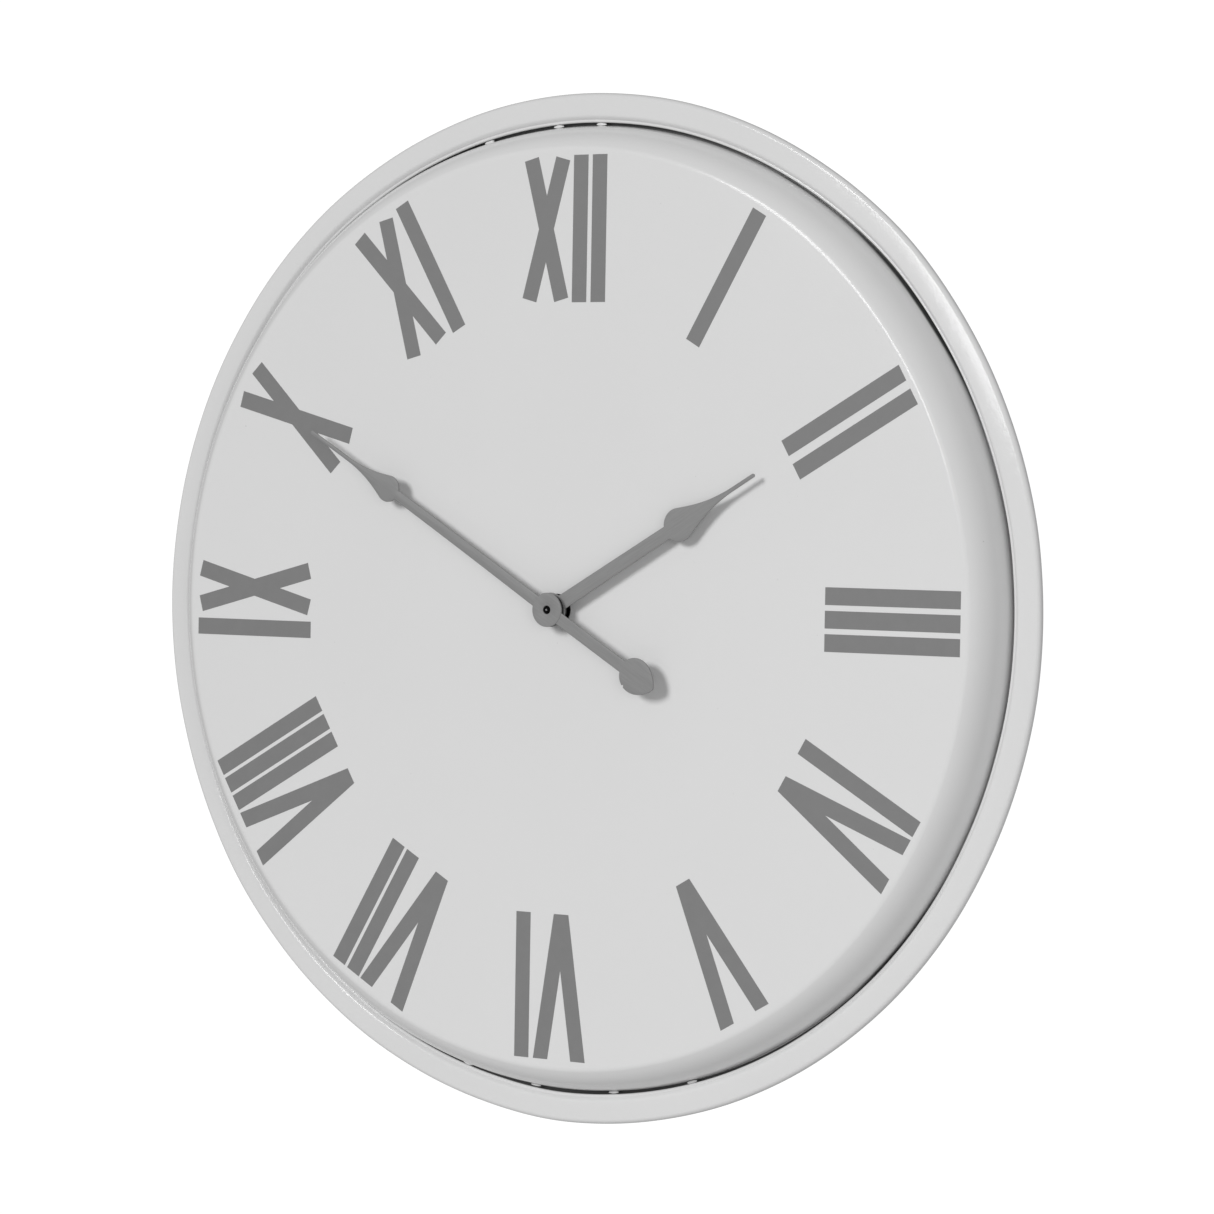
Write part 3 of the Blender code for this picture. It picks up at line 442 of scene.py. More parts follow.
def add_piece(
    name: str,
    points: np.ndarray,
    faces: np.ndarray | list[list[int]],
    finish: Finish,
    body: str,
    sharp: float = 40.0,
) -> bpy.types.Object:
    """Makes one finished piece at the origin and lets it ride on a body.

    Args:
        name: the piece's name.
        points: one row per vertex, in metres.
        faces: the vertex numbers of each face.
        finish: what it is covered with.
        body: the CAD body that carries it.
        sharp: edges that bend by more than this many degrees stay sharp.

    Returns:
        The new object.
    """
    mesh = bpy.data.meshes.new(name)
    mesh.from_pydata(points, [], faces)
    mesh.validate()
    mesh.shade_smooth()
    mesh.set_sharp_from_angle(angle=math.radians(sharp))
    mesh.materials.append(finish.material())
    piece = bpy.data.objects.new(name, mesh)
    bpy.context.scene.collection.objects.link(piece)
    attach(piece, body)
    LOG.info("%s: %d vertices on %s", name, len(points), body)
    return piece


def grid_faces(rows: int, columns: int, close_rows: bool, close_columns: bool) -> np.ndarray:
    """Quads of a grid of vertices numbered row by row.

    Args:
        rows: number of rows.
        columns: number of columns.
        close_rows: whether the last row joins the first.
        close_columns: whether the last column joins the first.

    Returns:
        One row of four vertex numbers per quad.
    """
    row = np.arange(rows if close_rows else rows - 1)
    column = np.arange(columns if close_columns else columns - 1)
    first, second = np.meshgrid(row, column, indexing="ij")
    below = (first + 1) % rows
    beside = (second + 1) % columns
    corners = [first * columns + second, first * columns + beside, below * columns + beside]
    corners.append(below * columns + second)
    return np.stack([corner.ravel() for corner in corners], axis=1)


def arc_points(
    centre: tuple[float, float], radii: tuple[float, float], start: float, end: float, count: int
) -> np.ndarray:
    """Points of an elliptical arc.

    Formula: centre plus each radius times the cosine and the sine of an angle that runs evenly
    from start to end, in degrees.

    Args:
        centre: the middle of the ellipse.
        radii: its half widths.
        start: angle of the first point.
        end: angle of the last point.
        count: number of points.

    Returns:
        One row of two coordinates per point.
    """
    turn = np.radians(np.linspace(start, end, count))
    return np.array(centre) + np.array(radii) * np.stack([np.cos(turn), np.sin(turn)], axis=1)


def ripple(turn: np.ndarray, waves: tuple[tuple[int, float, float], ...]) -> np.ndarray:
    """Sum of cosines round a ring.

    Args:
        turn: angles of the stations in radians.
        waves: (waves a turn, size, bearing of a peak in degrees) of each cosine.

    Returns:
        One height per station.
    """
    total = np.zeros_like(turn)
    for count, size, peak in waves:
        total += size * np.cos(count * (turn - math.radians(peak)))
    return total


def revolve(profile: np.ndarray, steps: int, waves: np.ndarray | None = None) -> np.ndarray:
    """Vertices of a closed profile turned round the arbor.

    Formula: x = arbor + radius * sin(turn), z = arbor + radius * cos(turn), y = -forward. The
    optional waves add a radial shift for each (turn, profile point).

    Args:
        profile: rows of (radius, forward).
        steps: number of stations round the arbor.
        waves: radial shifts, one row per station.

    Returns:
        Vertices, station by station.
    """
    turn = np.linspace(0, 2 * math.pi, steps, endpoint=False)
    radius = np.broadcast_to(profile[:, 0], (steps, len(profile)))
    if waves is not None:
        radius = radius + waves
    forward = np.broadcast_to(profile[:, 1], (steps, len(profile)))
    x = ARBOR.x + radius * np.sin(turn)[:, None]
    z = ARBOR.z + radius * np.cos(turn)[:, None]
    return np.stack([x, -forward, z], axis=2).reshape(-1, 3)


def outward(points: np.ndarray, faces: np.ndarray) -> np.ndarray:
    """Turns a closed mesh's faces round if they enclose a negative volume.

    Formula: the sum over the faces' triangles of first . (second x third) is six times the volume.

    Args:
        points: vertices.
        faces: quads.

    Returns:
        The quads, in the order that points outwards.
    """
    first, second, third, fourth = (points[faces[:, corner]] for corner in range(4))
    spread = np.cross(second, third) + np.cross(third, fourth)
    return faces if np.sum(first * spread) > 0 else faces[:, ::-1]


# --------------------------------------------------------------------------- dial pan and rim


@dataclass
class DialPan:
    """Pressed dial: flat face, rounded crease, curved side and a flange behind the rim."""

    side: float = 14.7 * MM
    tilt: float = math.radians(28)
    crease_radius: float = 6.5 * MM
    sheet: float = 1.0 * MM
    steps: int = 540
    bolt_hole: float = 5.1 * MM
    edge_waves: tuple[tuple[int, float, float], ...] = (
        (2, 0.2 * MM, 20.0),
        (5, 0.14 * MM, 50.0),
        (9, 0.12 * MM, 12.0),
        (14, 0.08 * MM, 3.0),
        (31, 0.04 * MM, 7.0),
    )

    def curve(self, count: int) -> np.ndarray:
        """The outer line of the side, from the crease to the flange.

        Formula: part of an ellipse whose first tangent has the crease's tilt and whose last is
        square to the wall. Its start angle is found by repeating tan(start) = tan(tilt) * width
        of the ellipse / its depth.

        Args:
            count: number of points.

        Returns:
            Rows of (radius, forward).
        """
        drop = PAN_DEPTH - self.sheet
        start = math.radians(24)
        across = self.side
        for _ in range(20):
            across = self.side / (1 - math.sin(start))
            start = math.atan(math.tan(self.tilt) * across * math.cos(start) / drop)
        deep = drop / math.cos(start)
        first = math.degrees(math.pi / 2 - start)
        return arc_points((PAN_RADIUS - across, self.sheet), (across, deep), first, 0, count)

    def section(self, crease: np.ndarray) -> np.ndarray:
        """Closed (radius, forward) section from the bolt hole to the flange and back.

        Formula: the outer line is the flat, a round fold that is tangent to the flat and to the
        side, and the side. The inner line is the outer one moved square to itself by the sheet.

        Args:
            crease: where flat and side would meet in a sharp corner.

        Returns:
            Rows of (radius, forward).
        """
        bend = self.crease_radius
        centre = (crease[0] - bend * math.tan(self.tilt / 2), crease[1] - bend)
        fold = arc_points(centre, (bend, bend), 90, 90 - math.degrees(self.tilt), 9)
        curve = self.curve(36)
        side = curve[curve[:, 0] > fold[-1, 0] + 0.2 * MM]
        flat = np.linspace([self.bolt_hole, crease[1]], fold[0], 26)[:-1]
        outer = np.concatenate([flat, fold, side])
        step = np.gradient(outer, axis=0)
        square = np.stack([-step[:, 1], step[:, 0]], axis=1)
        square /= np.linalg.norm(square, axis=1, keepdims=True)
        inner = outer - self.sheet * square * np.sign(square[0, 1])
        edge = PAN_RADIUS + FLANGE_WIDTH
        front = [[PAN_RADIUS + 0.3 * MM, self.sheet], [edge, self.sheet]]
        back = [[edge, 0.0], [PAN_RADIUS - self.sheet, 0.0]]
        return np.concatenate([outer, front, back, inner[::-1]])

    def build(self) -> None:
        """Makes the pan in place of its CAD node."""
        crease = self.curve(36)[0]
        line = self.section(crease)
        turn = np.linspace(0, 2 * math.pi, self.steps, endpoint=False)
        edge = np.clip((line[:, 0] - crease[0]) / self.side, 0, 1)
        waves = ripple(turn, self.edge_waves)[:, None] * edge[None, :] ** 2
        points = revolve(line, self.steps, waves)
        faces = outward(points, grid_faces(self.steps, len(line), True, True))
        pan = add_piece("dial_pan_sheet", points, faces, Finish.PAN, CASE_BODY, 50)
        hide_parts("dial_pan")


@dataclass
class RimRing:
    """Outer ring: crowned face, rolled outer edge, small lip inside, slightly out of round.

    A bulge is (bearing in degrees, spread in degrees, size).
    """

    width: float = 17.2 * MM
    dish: float = 1.9 * MM
    lip: float = 1.1 * MM
    crown_at: float = 4.5 * MM
    fall: float = 0.3 * MM
    roll: float = 3.0 * MM
    heel: float = 0.4 * MM
    steps: int = 720
    waves: tuple[tuple[int, float, float], ...] = (
        (3, 0.14 * MM, 80.0),
        (8, 0.12 * MM, 45.0),
        (13, 0.08 * MM, 182.0),
        (29, 0.03 * MM, 235.0),
    )
    bulges: tuple[tuple[float, float, float], ...] = (
        (45.0, 5.0, 0.35 * MM),
        (80.0, 4.0, 0.3 * MM),
        (182.0, 5.0, 0.35 * MM),
        (235.0, 6.0, 0.3 * MM),
    )

    def shifts(self) -> np.ndarray:
        """Radial shift of each station: waves plus a bell-shaped bulge at a few bearings.

        Returns:
            One shift per station.
        """
        turn = np.linspace(0, 2 * math.pi, self.steps, endpoint=False)
        total = ripple(turn, self.waves)
        for bearing, spread, size in self.bulges:
            total += size * np.exp(-(((np.degrees(turn) - bearing) / spread) ** 2))
        return total

    def line(self) -> np.ndarray:
        """Closed (radius, forward) section.

        Formula: a quarter-round lip, a rise that follows a sine to the crown, a fall that follows
        the square of the distance from the crown, a quarter-round roll and a flat back.

        Returns:
            Rows of (radius, forward).
        """
        low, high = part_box("rim_ring")
        outer = (high.x - low.x) / 2
        inner = outer - self.width
        back, front = -high.y, -low.y
        lip_centre = (inner + self.lip, front - self.dish - self.lip)
        lip = arc_points(lip_centre, (self.lip, self.lip), 180, 65, 9)
        crown = np.array([inner + self.crown_at, front])
        share = np.linspace(0, 1, 10)[1:, None]
        rise = lip[-1] + (crown - lip[-1]) * np.hstack([share, np.sin(share * math.pi / 2)])
        run = outer - self.roll - crown[0]
        down = crown + np.hstack([share * run, -self.fall * share**2])
        roll_centre = (outer - self.roll, front - self.fall - self.roll)
        roll = arc_points(roll_centre, (self.roll, self.roll), 90, 0, 12)[1:]
        heel_centre = (outer - self.heel, back + self.heel)
        heel = arc_points(heel_centre, (self.heel, self.heel), 0, -90, 5)
        foot = np.array([[inner + self.heel, back], [inner, back + self.heel]])
        return np.concatenate([lip, rise, down, roll, heel, foot])

    def build(self) -> None:
        """Makes the ring in place of its CAD node."""
        line = self.line()
        waves = np.repeat(self.shifts()[:, None], len(line), axis=1)
        points = revolve(line, self.steps, waves)
        faces = outward(points, grid_faces(self.steps, len(line), True, True))
        ring = add_piece("rim_ring_sheet", points, faces, Finish.RIM, CASE_BODY, 50)
        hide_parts("rim_ring")


@dataclass
class WeldTacks:
    """Lumpy weld beads in the gap beside the rim, with their half sizes.

    The beads are narrower than the CAD tacks, and several stop short of the rim.
    """

    count: int = 7
    along: float = 3.2 * MM
    across: float = 0.8 * MM
    proud: float = 0.7 * MM
    rows: int = 18
    columns: int = 28

    def bead(self, number: int) -> None:
        """Makes one bead over its CAD tack.

        Formula: a flattened ball whose radius is one plus a few small sines of both angles.

        Args:
            number: the tack's number, which also changes the bead's shape.
        """
        low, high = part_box(f"weld_tack_{number}")
        middle = (low + high) / 2
        radial = Vector((middle.x - ARBOR.x, 0, middle.z - ARBOR.z)).normalized()
        around = Vector((radial.z, 0, -radial.x))
        up = np.linspace(0, math.pi, self.rows)[:, None]
        turn = np.linspace(0, 2 * math.pi, self.columns, endpoint=False)[None, :]
        lump = 1 + 0.12 * np.sin(3 * turn + number) * np.sin(up)
        lump = lump + 0.08 * np.cos(5 * turn - 2 * number + 4 * up)
        along = self.along * lump * np.cos(up)
        out = self.across * lump * np.sin(up) * np.cos(turn)
        front = self.proud * lump * np.sin(up) * np.sin(turn)
        offset = along[..., None] * np.array(around) + out[..., None] * np.array(radial)
        points = np.array(middle) + offset + front[..., None] * np.array([0, -1, 0])
        points = points.reshape(-1, 3)
        faces = outward(points, grid_faces(self.rows, self.columns, False, True))
        name = f"weld_bead_{number}"
        bead = add_piece(name, points, faces, Finish.WELD, CASE_BODY, 80)
        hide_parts(f"weld_tack_{number}")

    def build(self) -> None:
        """Makes all the beads."""
        for number in range(1, self.count + 1):
            self.bead(number)


# --------------------------------------------------------------------------- numerals


class Stroke(Enum):
    """The three shapes that the numerals are made of."""

    BAR = "bar"
    VEE = "vee"
    CROSS = "cross"


BAR, VEE, CROSS = Stroke.BAR, Stroke.VEE, Stroke.CROSS


@dataclass
class Numerals:
    """Twelve radial numerals laid as thin paint films on the dial.

    The layout gives each numeral's strokes, with their middles in millimetres clockwise of the
    numeral's ray. The slips say how far outwards each stencil sat, in millimetres.
    """

    inner: float = 177.1 * MM
    outer: float = 261.9 * MM
    bar_width: float = 9.9 * MM
    vee_width: float = 35.8 * MM
    vee_foot: float = 10.0 * MM
    vee_notch: float = 209.8 * MM
    cross_tilt: float = 15.0
    cross_low: float = 177.3 * MM
    cross_high: float = 261.4 * MM
    cross_middle: float = 219.6 * MM
    film: float = 0.06 * MM
    clearance: float = 0.01 * MM
    layout: tuple[tuple[tuple[Stroke, float], ...], ...] = (
        ((BAR, -0.5),),
        ((BAR, -7.0), (BAR, 8.0)),
        ((BAR, -12.8), (BAR, 0.3), (BAR, 13.3)),
        ((BAR, -20.0), (VEE, 4.8)),
        ((VEE, 0.3),),
        ((VEE, -6.0), (BAR, 20.0)),
        ((VEE, -12.2), (BAR, 12.0), (BAR, 24.0)),
        ((VEE, -17.2), (BAR, 7.5), (BAR, 19.5), (BAR, 31.5)),
        ((BAR, -17.5), (CROSS, 7.0)),
        ((CROSS, 0.5),),
        ((CROSS, -6.0), (BAR, 19.0)),
        ((CROSS, -12.0), (BAR, 11.2), (BAR, 24.0)),
    )
    slips: tuple[float, ...] = (0, -0.1, 0.1, 0.6, -1.0, -0.6, 0.1, 0.35, -0.6, 0, -0.2, 0.35)

    def bar(self) -> np.ndarray:
        """Corners of a straight stroke.

        Returns:
            Rows of (across, along).
        """
        half, low, high = self.bar_width / 2, self.inner, self.outer
        return np.array([(-half, low), (half, low), (half, high), (-half, high)])

    def vee(self) -> np.ndarray:
        """Corners of the letter with two legs that meet at the inner end.

        Returns:
            Rows of (across, along).
        """
        foot, top = self.vee_foot / 2, self.vee_width / 2
        low = [(-foot, self.inner), (foot, self.inner)]
        right = [(top, self.outer), (top - self.bar_width, self.outer)]
        left = [(self.bar_width - top, self.outer), (-top, self.outer)]
        return np.array([*low, *right, (0, self.vee_notch), *left])

    def cross(self) -> np.ndarray:
        """Corners of two strokes that cross at equal tilts.

        Formula: each stroke is a band about a line through the middle, tilted one way or the
        other; where two band edges meet gives the four inner corners.

        Returns:
            Rows of (across, along).
        """
        tilt = math.radians(self.cross_tilt)
        half = self.bar_width / 2
        sine, cosine = math.sin(tilt), math.cos(tilt)
        high = (self.cross_high - self.cross_middle - half * sine) / cosine
        low = (self.cross_middle - self.cross_low - half * sine) / cosine
        waist, throat = half / cosine, half / sine
        way, side = np.array([sine, cosine]), np.array([cosine, -sine]) * half
        other_way, other_side = way * [-1, 1], side * [1, -1]
        corners = [
            way * high - side,
            way * high + side,
            (waist, 0),
            other_side - other_way * low,
            -other_side - other_way * low,
            (0, -throat),
            side - way * low,
            -side - way * low,
            (-waist, 0),
            other_way * high - other_side,
            other_way * high + other_side,
            (0, throat),
        ]
        return np.array(corners) + [0, self.cross_middle]

    def prism(
        self, outline: np.ndarray, bearing: float, forward: float
    ) -> tuple[np.ndarray, list[list[int]]]:
        """One stroke as a thin film on the dial.

        Formula: the outline is turned to its bearing and carried forwards by the film.

        Args:
            outline: rows of (across, along).
            bearing: clockwise angle of the numeral's ray in degrees.
            forward: distance of the film's back from the wall.

        Returns:
            Vertices and faces.
        """
        angle = math.radians(bearing)
        across, along = outline[:, 0], outline[:, 1]
        x = ARBOR.x + along * math.sin(angle) + across * math.cos(angle)
        z = ARBOR.z + along * math.cos(angle) - across * math.sin(angle)
        back = np.stack([x, np.full_like(x, -forward), z], axis=1)
        front = back - [0, self.film, 0]
        here = np.arange(len(outline))
        beside = np.roll(here, -1)
        front_face = here + len(outline)
        sides = np.stack([here, beside, np.roll(front_face, -1), front_face], axis=1)
        faces = [*sides.tolist(), here[::-1].tolist(), front_face.tolist()]
        return np.concatenate([back, front]), faces

    def build(self) -> None:
        """Makes the twelve numerals."""
        shapes = {BAR: self.bar(), VEE: self.vee(), CROSS: self.cross()}
        forward = PAN_DEPTH + self.clearance
        for hour, (strokes, slip) in enumerate(zip(self.layout, self.slips), 1):
            points: list[np.ndarray] = []
            faces: list[list[int]] = []
            for stroke, middle in strokes:
                outline = shapes[stroke] + [middle * MM, slip * MM]
                made, sides = self.prism(outline, 30.0 * hour, forward)
                start = sum(len(part) for part in points)
                faces += [[start + corner for corner in side] for side in sides]
                points.append(made)
            name = f"numeral_{hour:02d}"
            film = np.concatenate(points)
            add_piece(name, film, faces, Finish.NUMERAL, CASE_BODY)


# --------------------------------------------------------------------------- hands


HUB_STEPS = 128
FACE_POINTS = 7


@dataclass
class Hand:
    """A stamped spade hand: a long arm that can bow towards the dial, a flat tail when asked for,
    and a hub disc.

    Shapes are half widths along the hand. The spade is a round shoulder that runs into a hollow
    flank and a parallel needle. The stem has a half width at each end. The nick in the tail is
    (distance along it, depth, width).
    """

    name: str
    node: str
    body: str
    finish: Finish
    bearing: float
    length: float
    spade_at: float
    spade_radius: float
    stem: tuple[float, float]
    needle: float
    hub_radius: float = 9.9 * MM
    hub_hole: float = 2.45 * MM
    hub_proud: float = 0.25 * MM
    sheet: float = 0.9 * MM
    edge: float = 0.22 * MM
    droop: float = 0.0
    ridge: float = 0.0
    tail: bool = False
    nick: tuple[float, float, float] = (66.3 * MM, 1.2 * MM, 1.7 * MM)

    def long_side(self) -> np.ndarray:
        """The edge from the hub to the tip: stem, shoulder, flank, needle and round tip.

        Returns:
            Rows of (along, half width).
        """
        radius, needle = self.spade_radius, self.needle
        meet = math.degrees(math.asin(self.stem[1] / radius))
        leave = 180 - math.degrees(math.acos(0.35))
        shoulder = arc_points((self.spade_at, 0), (-radius, radius), meet, leave, 26)
        start = shoulder[-1]
        controls = np.array(
            [
                start,
                [start[0] + 1.15 * radius, start[1] - 0.45 * radius],
                [self.spade_at + 2.5 * radius, 1.5 * needle],
                [self.spade_at + 4.0 * radius, 1.05 * needle],
            ]
        )
        flank = bezier(controls, 28)[1:]
        straight = np.linspace(flank[-1], [self.length - needle, needle], 12)[1:]
        tip = arc_points((self.length - needle, 0), (needle, needle), 90, 0, 9)[1:]
        stem = np.linspace([self.stem_start(), self.stem[0]], shoulder[0], 40)[:-1]
        return np.concatenate([stem, shoulder, flank, straight, tip])

    def stem_start(self) -> float:
        """Where both arms start, inside the hub disc."""
        return self.hub_hole + 1 * MM

    def tail_side(self) -> np.ndarray:
        """The edge of the leaf-shaped counterweight, with extra stations at the nick.

        Returns:
            Rows of (along, half width).
        """
        lobe_at, radius, stem, length = 70 * MM, 10.3 * MM, 3.6 * MM, 84.4 * MM
        meet = math.degrees(math.asin(stem / radius))
        shoulder = arc_points((lobe_at, 0), (-radius, radius), meet, 90, 22)
        controls = np.array(
            [
                [lobe_at, radius],
                [lobe_at + 8.5 * MM, radius],
                [length - 0.5 * MM, 0.25 * radius],
                [length, 0],
            ]
        )
        neck = np.linspace([self.stem_start(), stem], shoulder[0], 24)[:-1]
        rows = np.concatenate([neck, shoulder, bezier(controls, 24)[1:]])
        at, _, width = self.nick
        added = at + width * np.array([-0.5, -0.25, 0.0, 0.25, 0.5])
        nicked = np.stack([added, np.interp(added, rows[:, 0], rows[:, 1])], axis=1)
        joined = np.concatenate([rows, nicked])
        return joined[np.argsort(joined[:, 0], kind="stable")]

    def bar_section(self) -> np.ndarray:
        """The blade's section, from one edge over the face to the other and back underneath.

        Returns:
            Rows of (share of the half width, what the rounded edge adds to it, forward).
        """
        edge, soft = self.edge, self.edge * 0.3
        out, back = edge * 0.7, -self.sheet
        flat = np.linspace(-1, 1, FACE_POINTS)
        none = np.zeros(FACE_POINTS)
        right = [[1, out, -soft], [1, edge, -edge], [1, out, back + soft]]
        left = [[-1, -out, back + soft], [-1, -edge, -edge], [-1, -out, -soft]]
        face = np.stack([flat, none, none], axis=1)
        under = np.stack([-flat, none, none + back], axis=1)
        return np.concatenate([face, right, under, left])

    def blade(
        self, side: np.ndarray, bearing: float, sag: float, ridge: float, nick: float
    ) -> tuple[np.ndarray, np.ndarray]:
        """A solid blade from its side line.

        Formula: at each station the section is a bar with rounded edges, as wide as the half
        width on both sides, whose face rises in straight slopes to a middle ridge. The whole bar
        is set back by sag times a sine bow, and a wedge is taken from one edge at the nick.

        Args:
            side: rows of (along, half width).
            bearing: clockwise angle of the blade in degrees.
            sag: greatest set-back towards the dial.
            ridge: slope of the face on both sides of its middle.
            nick: depth of the wedge.

        Returns:
            Vertices and quads.
        """
        angle = math.radians(bearing)
        at, width = side[:, :1], side[:, 1:]
        share, added, lift = self.bar_section().T
        half = np.maximum(width - self.edge, 0.01 * MM)
        across = half * share + np.minimum(width / self.edge, 1.0) * added
        wedge = np.clip(1 - np.abs(at - self.nick[0]) * 2 / self.nick[2], 0, 1) * nick
        across = across - wedge * np.clip(share, 0, 1)
        roof = np.where(np.arange(len(share)) < FACE_POINTS, 1 - np.abs(share), 0.0)
        rise = np.minimum(width * ridge, 0.45 * MM) * roof
        bow = np.sin(np.clip(at / self.length, 0, 1) * math.pi) ** 0.8 * sag
        forward = self.front() + lift - bow + rise
        x = ARBOR.x + at * math.sin(angle) + across * math.cos(angle)
        z = ARBOR.z + at * math.cos(angle) - across * math.sin(angle)
        points = np.stack([x, -forward, z], axis=2).reshape(-1, 3)
        return points, outward(points, grid_faces(len(side), len(share), False, True))

    def front(self) -> float:
        """Forward distance of the arm's face."""
        return -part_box(self.node)[0].y

    def hub(self) -> tuple[np.ndarray, np.ndarray]:
        """The hub disc: a ring with rounded edges, a little proud of the arms.

        Returns:
            Vertices and quads.
        """
        top = self.front() + self.hub_proud
        bottom = self.front() - self.sheet
        edge, hole = self.edge, self.hub_hole
        rim = self.hub_radius - edge
        high = arc_points((rim, top - edge), (edge, edge), 90, 0, 5)
        low = arc_points((rim, bottom + edge), (edge, edge), 0, -90, 5)
        bore = np.array([[hole, bottom], [hole, top - edge], [hole + edge, top]])
        line = np.concatenate([high, low, bore])
        points = revolve(line, HUB_STEPS)
        return points, outward(points, grid_faces(HUB_STEPS, len(line), True, True))

    def build(self) -> None:
        """Makes the hand in place of its CAD node."""
        arm = self.blade(self.long_side(), self.bearing, self.droop, self.ridge, 0.0)
        parts = [arm, self.hub()]
        if self.tail:
            parts.append(self.blade(self.tail_side(), self.bearing + 180, 0.0, 0.0, self.nick[1]))
        start = np.cumsum([0] + [len(points) for points, _ in parts])
        points = np.concatenate([points for points, _ in parts])
        faces = np.concatenate([quads + first for (_, quads), first in zip(parts, start)])
        hand = add_piece(self.name, points, faces, self.finish, self.body, 50)
        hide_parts(self.node)


def bezier(controls: np.ndarray, count: int) -> np.ndarray:
    """Points of a cubic curve, evenly in its parameter.

    Formula: the control points weighted by the terms of (rest + share) cubed.

    Args:
        controls: the four control points.
        count: number of points.

    Returns:
        One row per point.
    """
    share = np.linspace(0, 1, count)[:, None]
    rest = 1 - share
    weights = (rest**3, 3 * rest**2 * share, 3 * rest * share**2, share**3)
    return sum(weight * control for weight, control in zip(weights, controls))


# --------------------------------------------------------------------------- stage


@dataclass
class Studio:
    """Pale floor, soft lights and the camera."""

    turn: float = 32.26
    lift: float = 1.615
    roll: float = 0.977
    distance: float = 2.4417
    aim_right: float = 0.02864
    aim_up: float = 0.001485
    lens: float = 125.14
    floor_drop: float = 0.75
    floor_half: float = 1.6
    white_as_light: float = 0.24
    white_to_eye: float = 1.05

    def directions(self) -> tuple[Vector, Vector, Vector]:
        """The camera's own axes.

        Returns:
            Unit vectors to its right, to its top and from the clock to it.
        """
        turn, lift, roll = (math.radians(angle) for angle in (self.turn, self.lift, self.roll))
        level = Vector((math.sin(turn), -math.cos(turn), 0))
        back = level * math.cos(lift) + Vector((0, 0, math.sin(lift)))
        right = Vector((math.cos(turn), math.sin(turn), 0))
        up = back.cross(right)
        rolled_right = math.cos(roll) * right + math.sin(roll) * up
        rolled_up = math.cos(roll) * up - math.sin(roll) * right
        return rolled_right, rolled_up, back

    def camera(self) -> None:
        """Places the camera, aimed a little beside the dial's centre."""
        right, up, back = self.directions()
        dial = Vector((ARBOR.x, -PAN_DEPTH, ARBOR.z))
        data = bpy.data.cameras.new("camera")
        data.lens = self.lens
        data.sensor_width = 36.0
        camera = bpy.data.objects.new("camera", data)
        bpy.context.scene.collection.objects.link(camera)
        place = dial + self.aim_right * right + self.aim_up * up + self.distance * back
        basis = Matrix((right, up, back)).transposed().to_4x4()
        camera.matrix_world = Matrix.Translation(place) @ basis
        bpy.context.scene.camera = camera

    def key(self, direction: tuple[float, float, float], spread: float, strength: float) -> None:
        """The broad main light.

        Args:
            direction: from the dial to the light.
            spread: how wide the light looks from the dial, in degrees.
            strength: irradiance in watts a square metre.
        """
        data = bpy.data.lights.new("key_light", "SUN")
        data.angle = math.radians(spread)
        data.energy = strength
        lamp = bpy.data.objects.new("key_light", data)
        bpy.context.scene.collection.objects.link(lamp)
        lamp.rotation_euler = Vector(direction).to_track_quat("Z", "Y").to_euler()
        lamp.visible_glossy = False

    def panel(
        self, name: str, centre: tuple[float, float, float], size: tuple[float, float], power: float
    ) -> bpy.types.Object:
        """A soft rectangular lamp that faces the dial.

        Args:
            name: the lamp's name.
            centre: its place, measured from the dial's centre.
            size: its width and height.
            power: its power in watts.

        Returns:
            The lamp.
        """
        data = bpy.data.lights.new(name, "AREA")
        data.shape = "RECTANGLE"
        data.size, data.size_y = size
        data.energy = power
        lamp = bpy.data.objects.new(name, data)
        bpy.context.scene.collection.objects.link(lamp)
        lamp.location = ARBOR + Vector(centre)
        lamp.rotation_euler = Vector(centre).to_track_quat("Z", "Y").to_euler()
        return lamp

    def floor(self) -> None:
        """Lays a pale floor under the clock."""
        half = self.floor_half
        z = ARBOR.z - self.floor_drop
        mesh = bpy.data.meshes.new("studio_floor")
        corners = [(-half, -half, z), (half, -half, z), (half, half, z), (-half, half, z)]
        mesh.from_pydata(corners, [], [(0, 1, 2, 3)])
        graph = Graph("studio_floor_paint")
        cloud = graph.noise(graph.place(), 3.0)
        graph.set(Base_Color=graph.blend(cloud, grey(0.8), grey(0.84)), Roughness=0.7)
        mesh.materials.append(graph.owner)
        floor = bpy.data.objects.new("studio_floor", mesh)
        bpy.context.scene.collection.objects.link(floor)

    def surroundings(self) -> None:
        """White surroundings: full white to the eye, dimmer as a light."""
        graph = Graph("studio_world", world=True)
        seen = graph.node("ShaderNodeLightPath", {}, {}, "Is Camera Ray")
        inputs = {"Value": seen, "To Min": self.white_as_light, "To Max": self.white_to_eye}
        strength = graph.node("ShaderNodeMapRange", {}, inputs, "Result")
        graph.set(Color=grey(1.0), Strength=strength)
        bpy.context.scene.world = graph.owner
        bpy.context.scene.view_settings.view_transform = "Standard"

    def build(self) -> None:
        """Sets up the whole stage."""
        self.camera()
        self.floor()
        self.surroundings()
        self.key((-0.33, -1.0, 0.37), 19.0, 1.74)
        front_fill = self.panel("front_fill", (3.0, -3.3, 0.15), (2.2, 2.2), 36.0)
        front_fill.visible_glossy = False
        gloss_panel = self.panel("gloss_panel", (-0.46, -2.03, 0.9), (0.52, 1.4), 14.5)
        gloss_panel.visible_diffuse = False
        right_fill = self.panel("right_fill", (2.2, -0.5, 0.2), (1.4, 1.4), 3.5)
        right_fill.visible_glossy = False
        LOG.info("stage: camera, floor, surroundings and four lamps")


# --------------------------------------------------------------------------- dressing


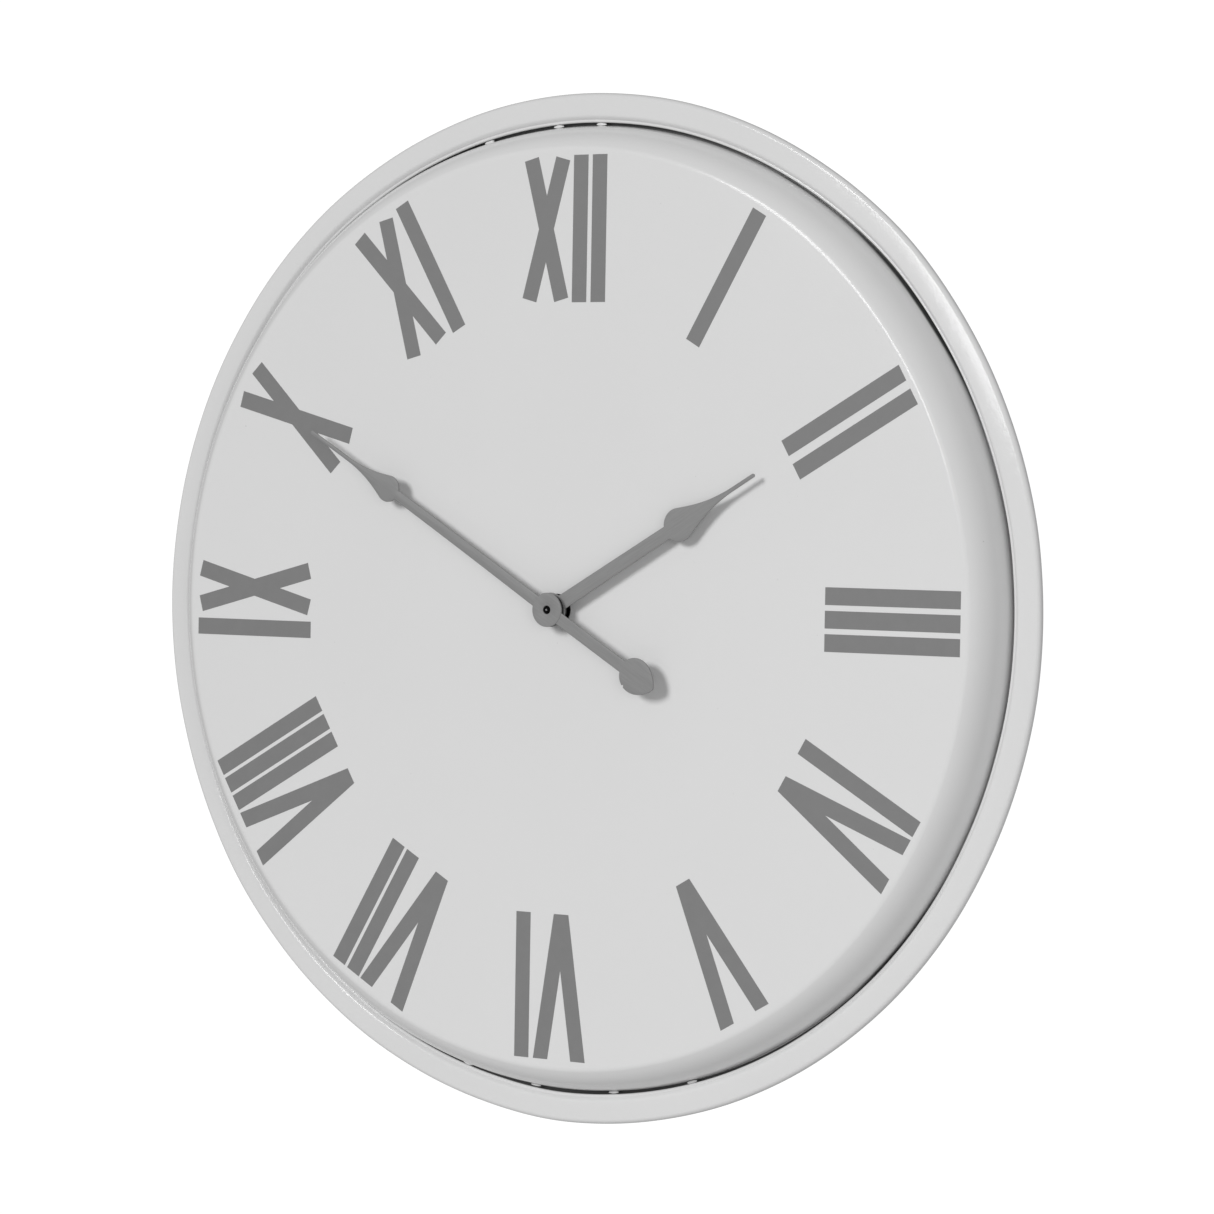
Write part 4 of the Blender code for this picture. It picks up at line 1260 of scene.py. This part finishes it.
CAD_FINISHES = {
    Finish.BLACK_PLASTIC: ("movement_case", "movement_front_plate", "clock_chip"),
    Finish.COLLET: ("hour_hand_collet", "minute_hand_collet"),
    Finish.RUBBER: ("rubber_washer",),
    Finish.NYLON: (
        "setting_knob",
        "coil_bobbin",
        "hour_tube_wheel",
        "third_wheel",
        "intermediate_wheel",
        "motion_work_wheel",
    ),
    Finish.BOARD: ("circuit_board",),
    Finish.SLEEVE: ("aa_battery",),
    Finish.BLACK_STEEL: ("front_washer", "hex_nut", "minute_arbor_wheel", "rotor"),
    Finish.STEEL: (
        "hanger_strap",
        "seconds_arbor_wheel",
        "motor_stator",
        "contact_positive",
        "contact_negative",
        "quartz_crystal",
    ),
    Finish.BRASS: ("threaded_bushing",),
    Finish.COPPER: ("coil_winding",),
}


def dress_frame() -> None:
    """Gives every CAD node that stays its finish."""
    for finish, names in CAD_FINISHES.items():
        for name in names:
            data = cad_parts[name].data
            data.materials.clear()
            data.materials.append(finish.material())
            LOG.info("%s: %s", name, finish.name)


def main() -> None:
    """Builds the clock and its stage."""
    logging.basicConfig(level=logging.INFO, format="%(name)s: %(message)s")
    dress_frame()
    DialPan().build()
    RimRing().build()
    WeldTacks().build()
    Numerals().build()
    Hand(
        name="hour_hand_blade",
        node="hour_hand",
        body=HOUR_BODY,
        finish=Finish.HOUR,
        bearing=Finish.HOUR.value.bearing,
        length=156.3 * MM,
        spade_at=99.2 * MM,
        spade_radius=9.7 * MM,
        stem=(4.35 * MM, 3.9 * MM),
        needle=1.1 * MM,
        hub_hole=3.7 * MM,
    ).build()
    Hand(
        name="minute_hand_blade",
        node="minute_hand",
        body=MINUTE_BODY,
        finish=Finish.MINUTE,
        bearing=Finish.MINUTE.value.bearing,
        length=198.2 * MM,
        spade_at=133.3 * MM,
        spade_radius=7.9 * MM,
        stem=(3.45 * MM, 2.95 * MM),
        needle=1.15 * MM,
        droop=1.6 * MM,
        ridge=0.16,
        tail=True,
    ).build()
    Studio().build()
    bpy.context.view_layer.update()


if __name__ == "__main__":
    main()
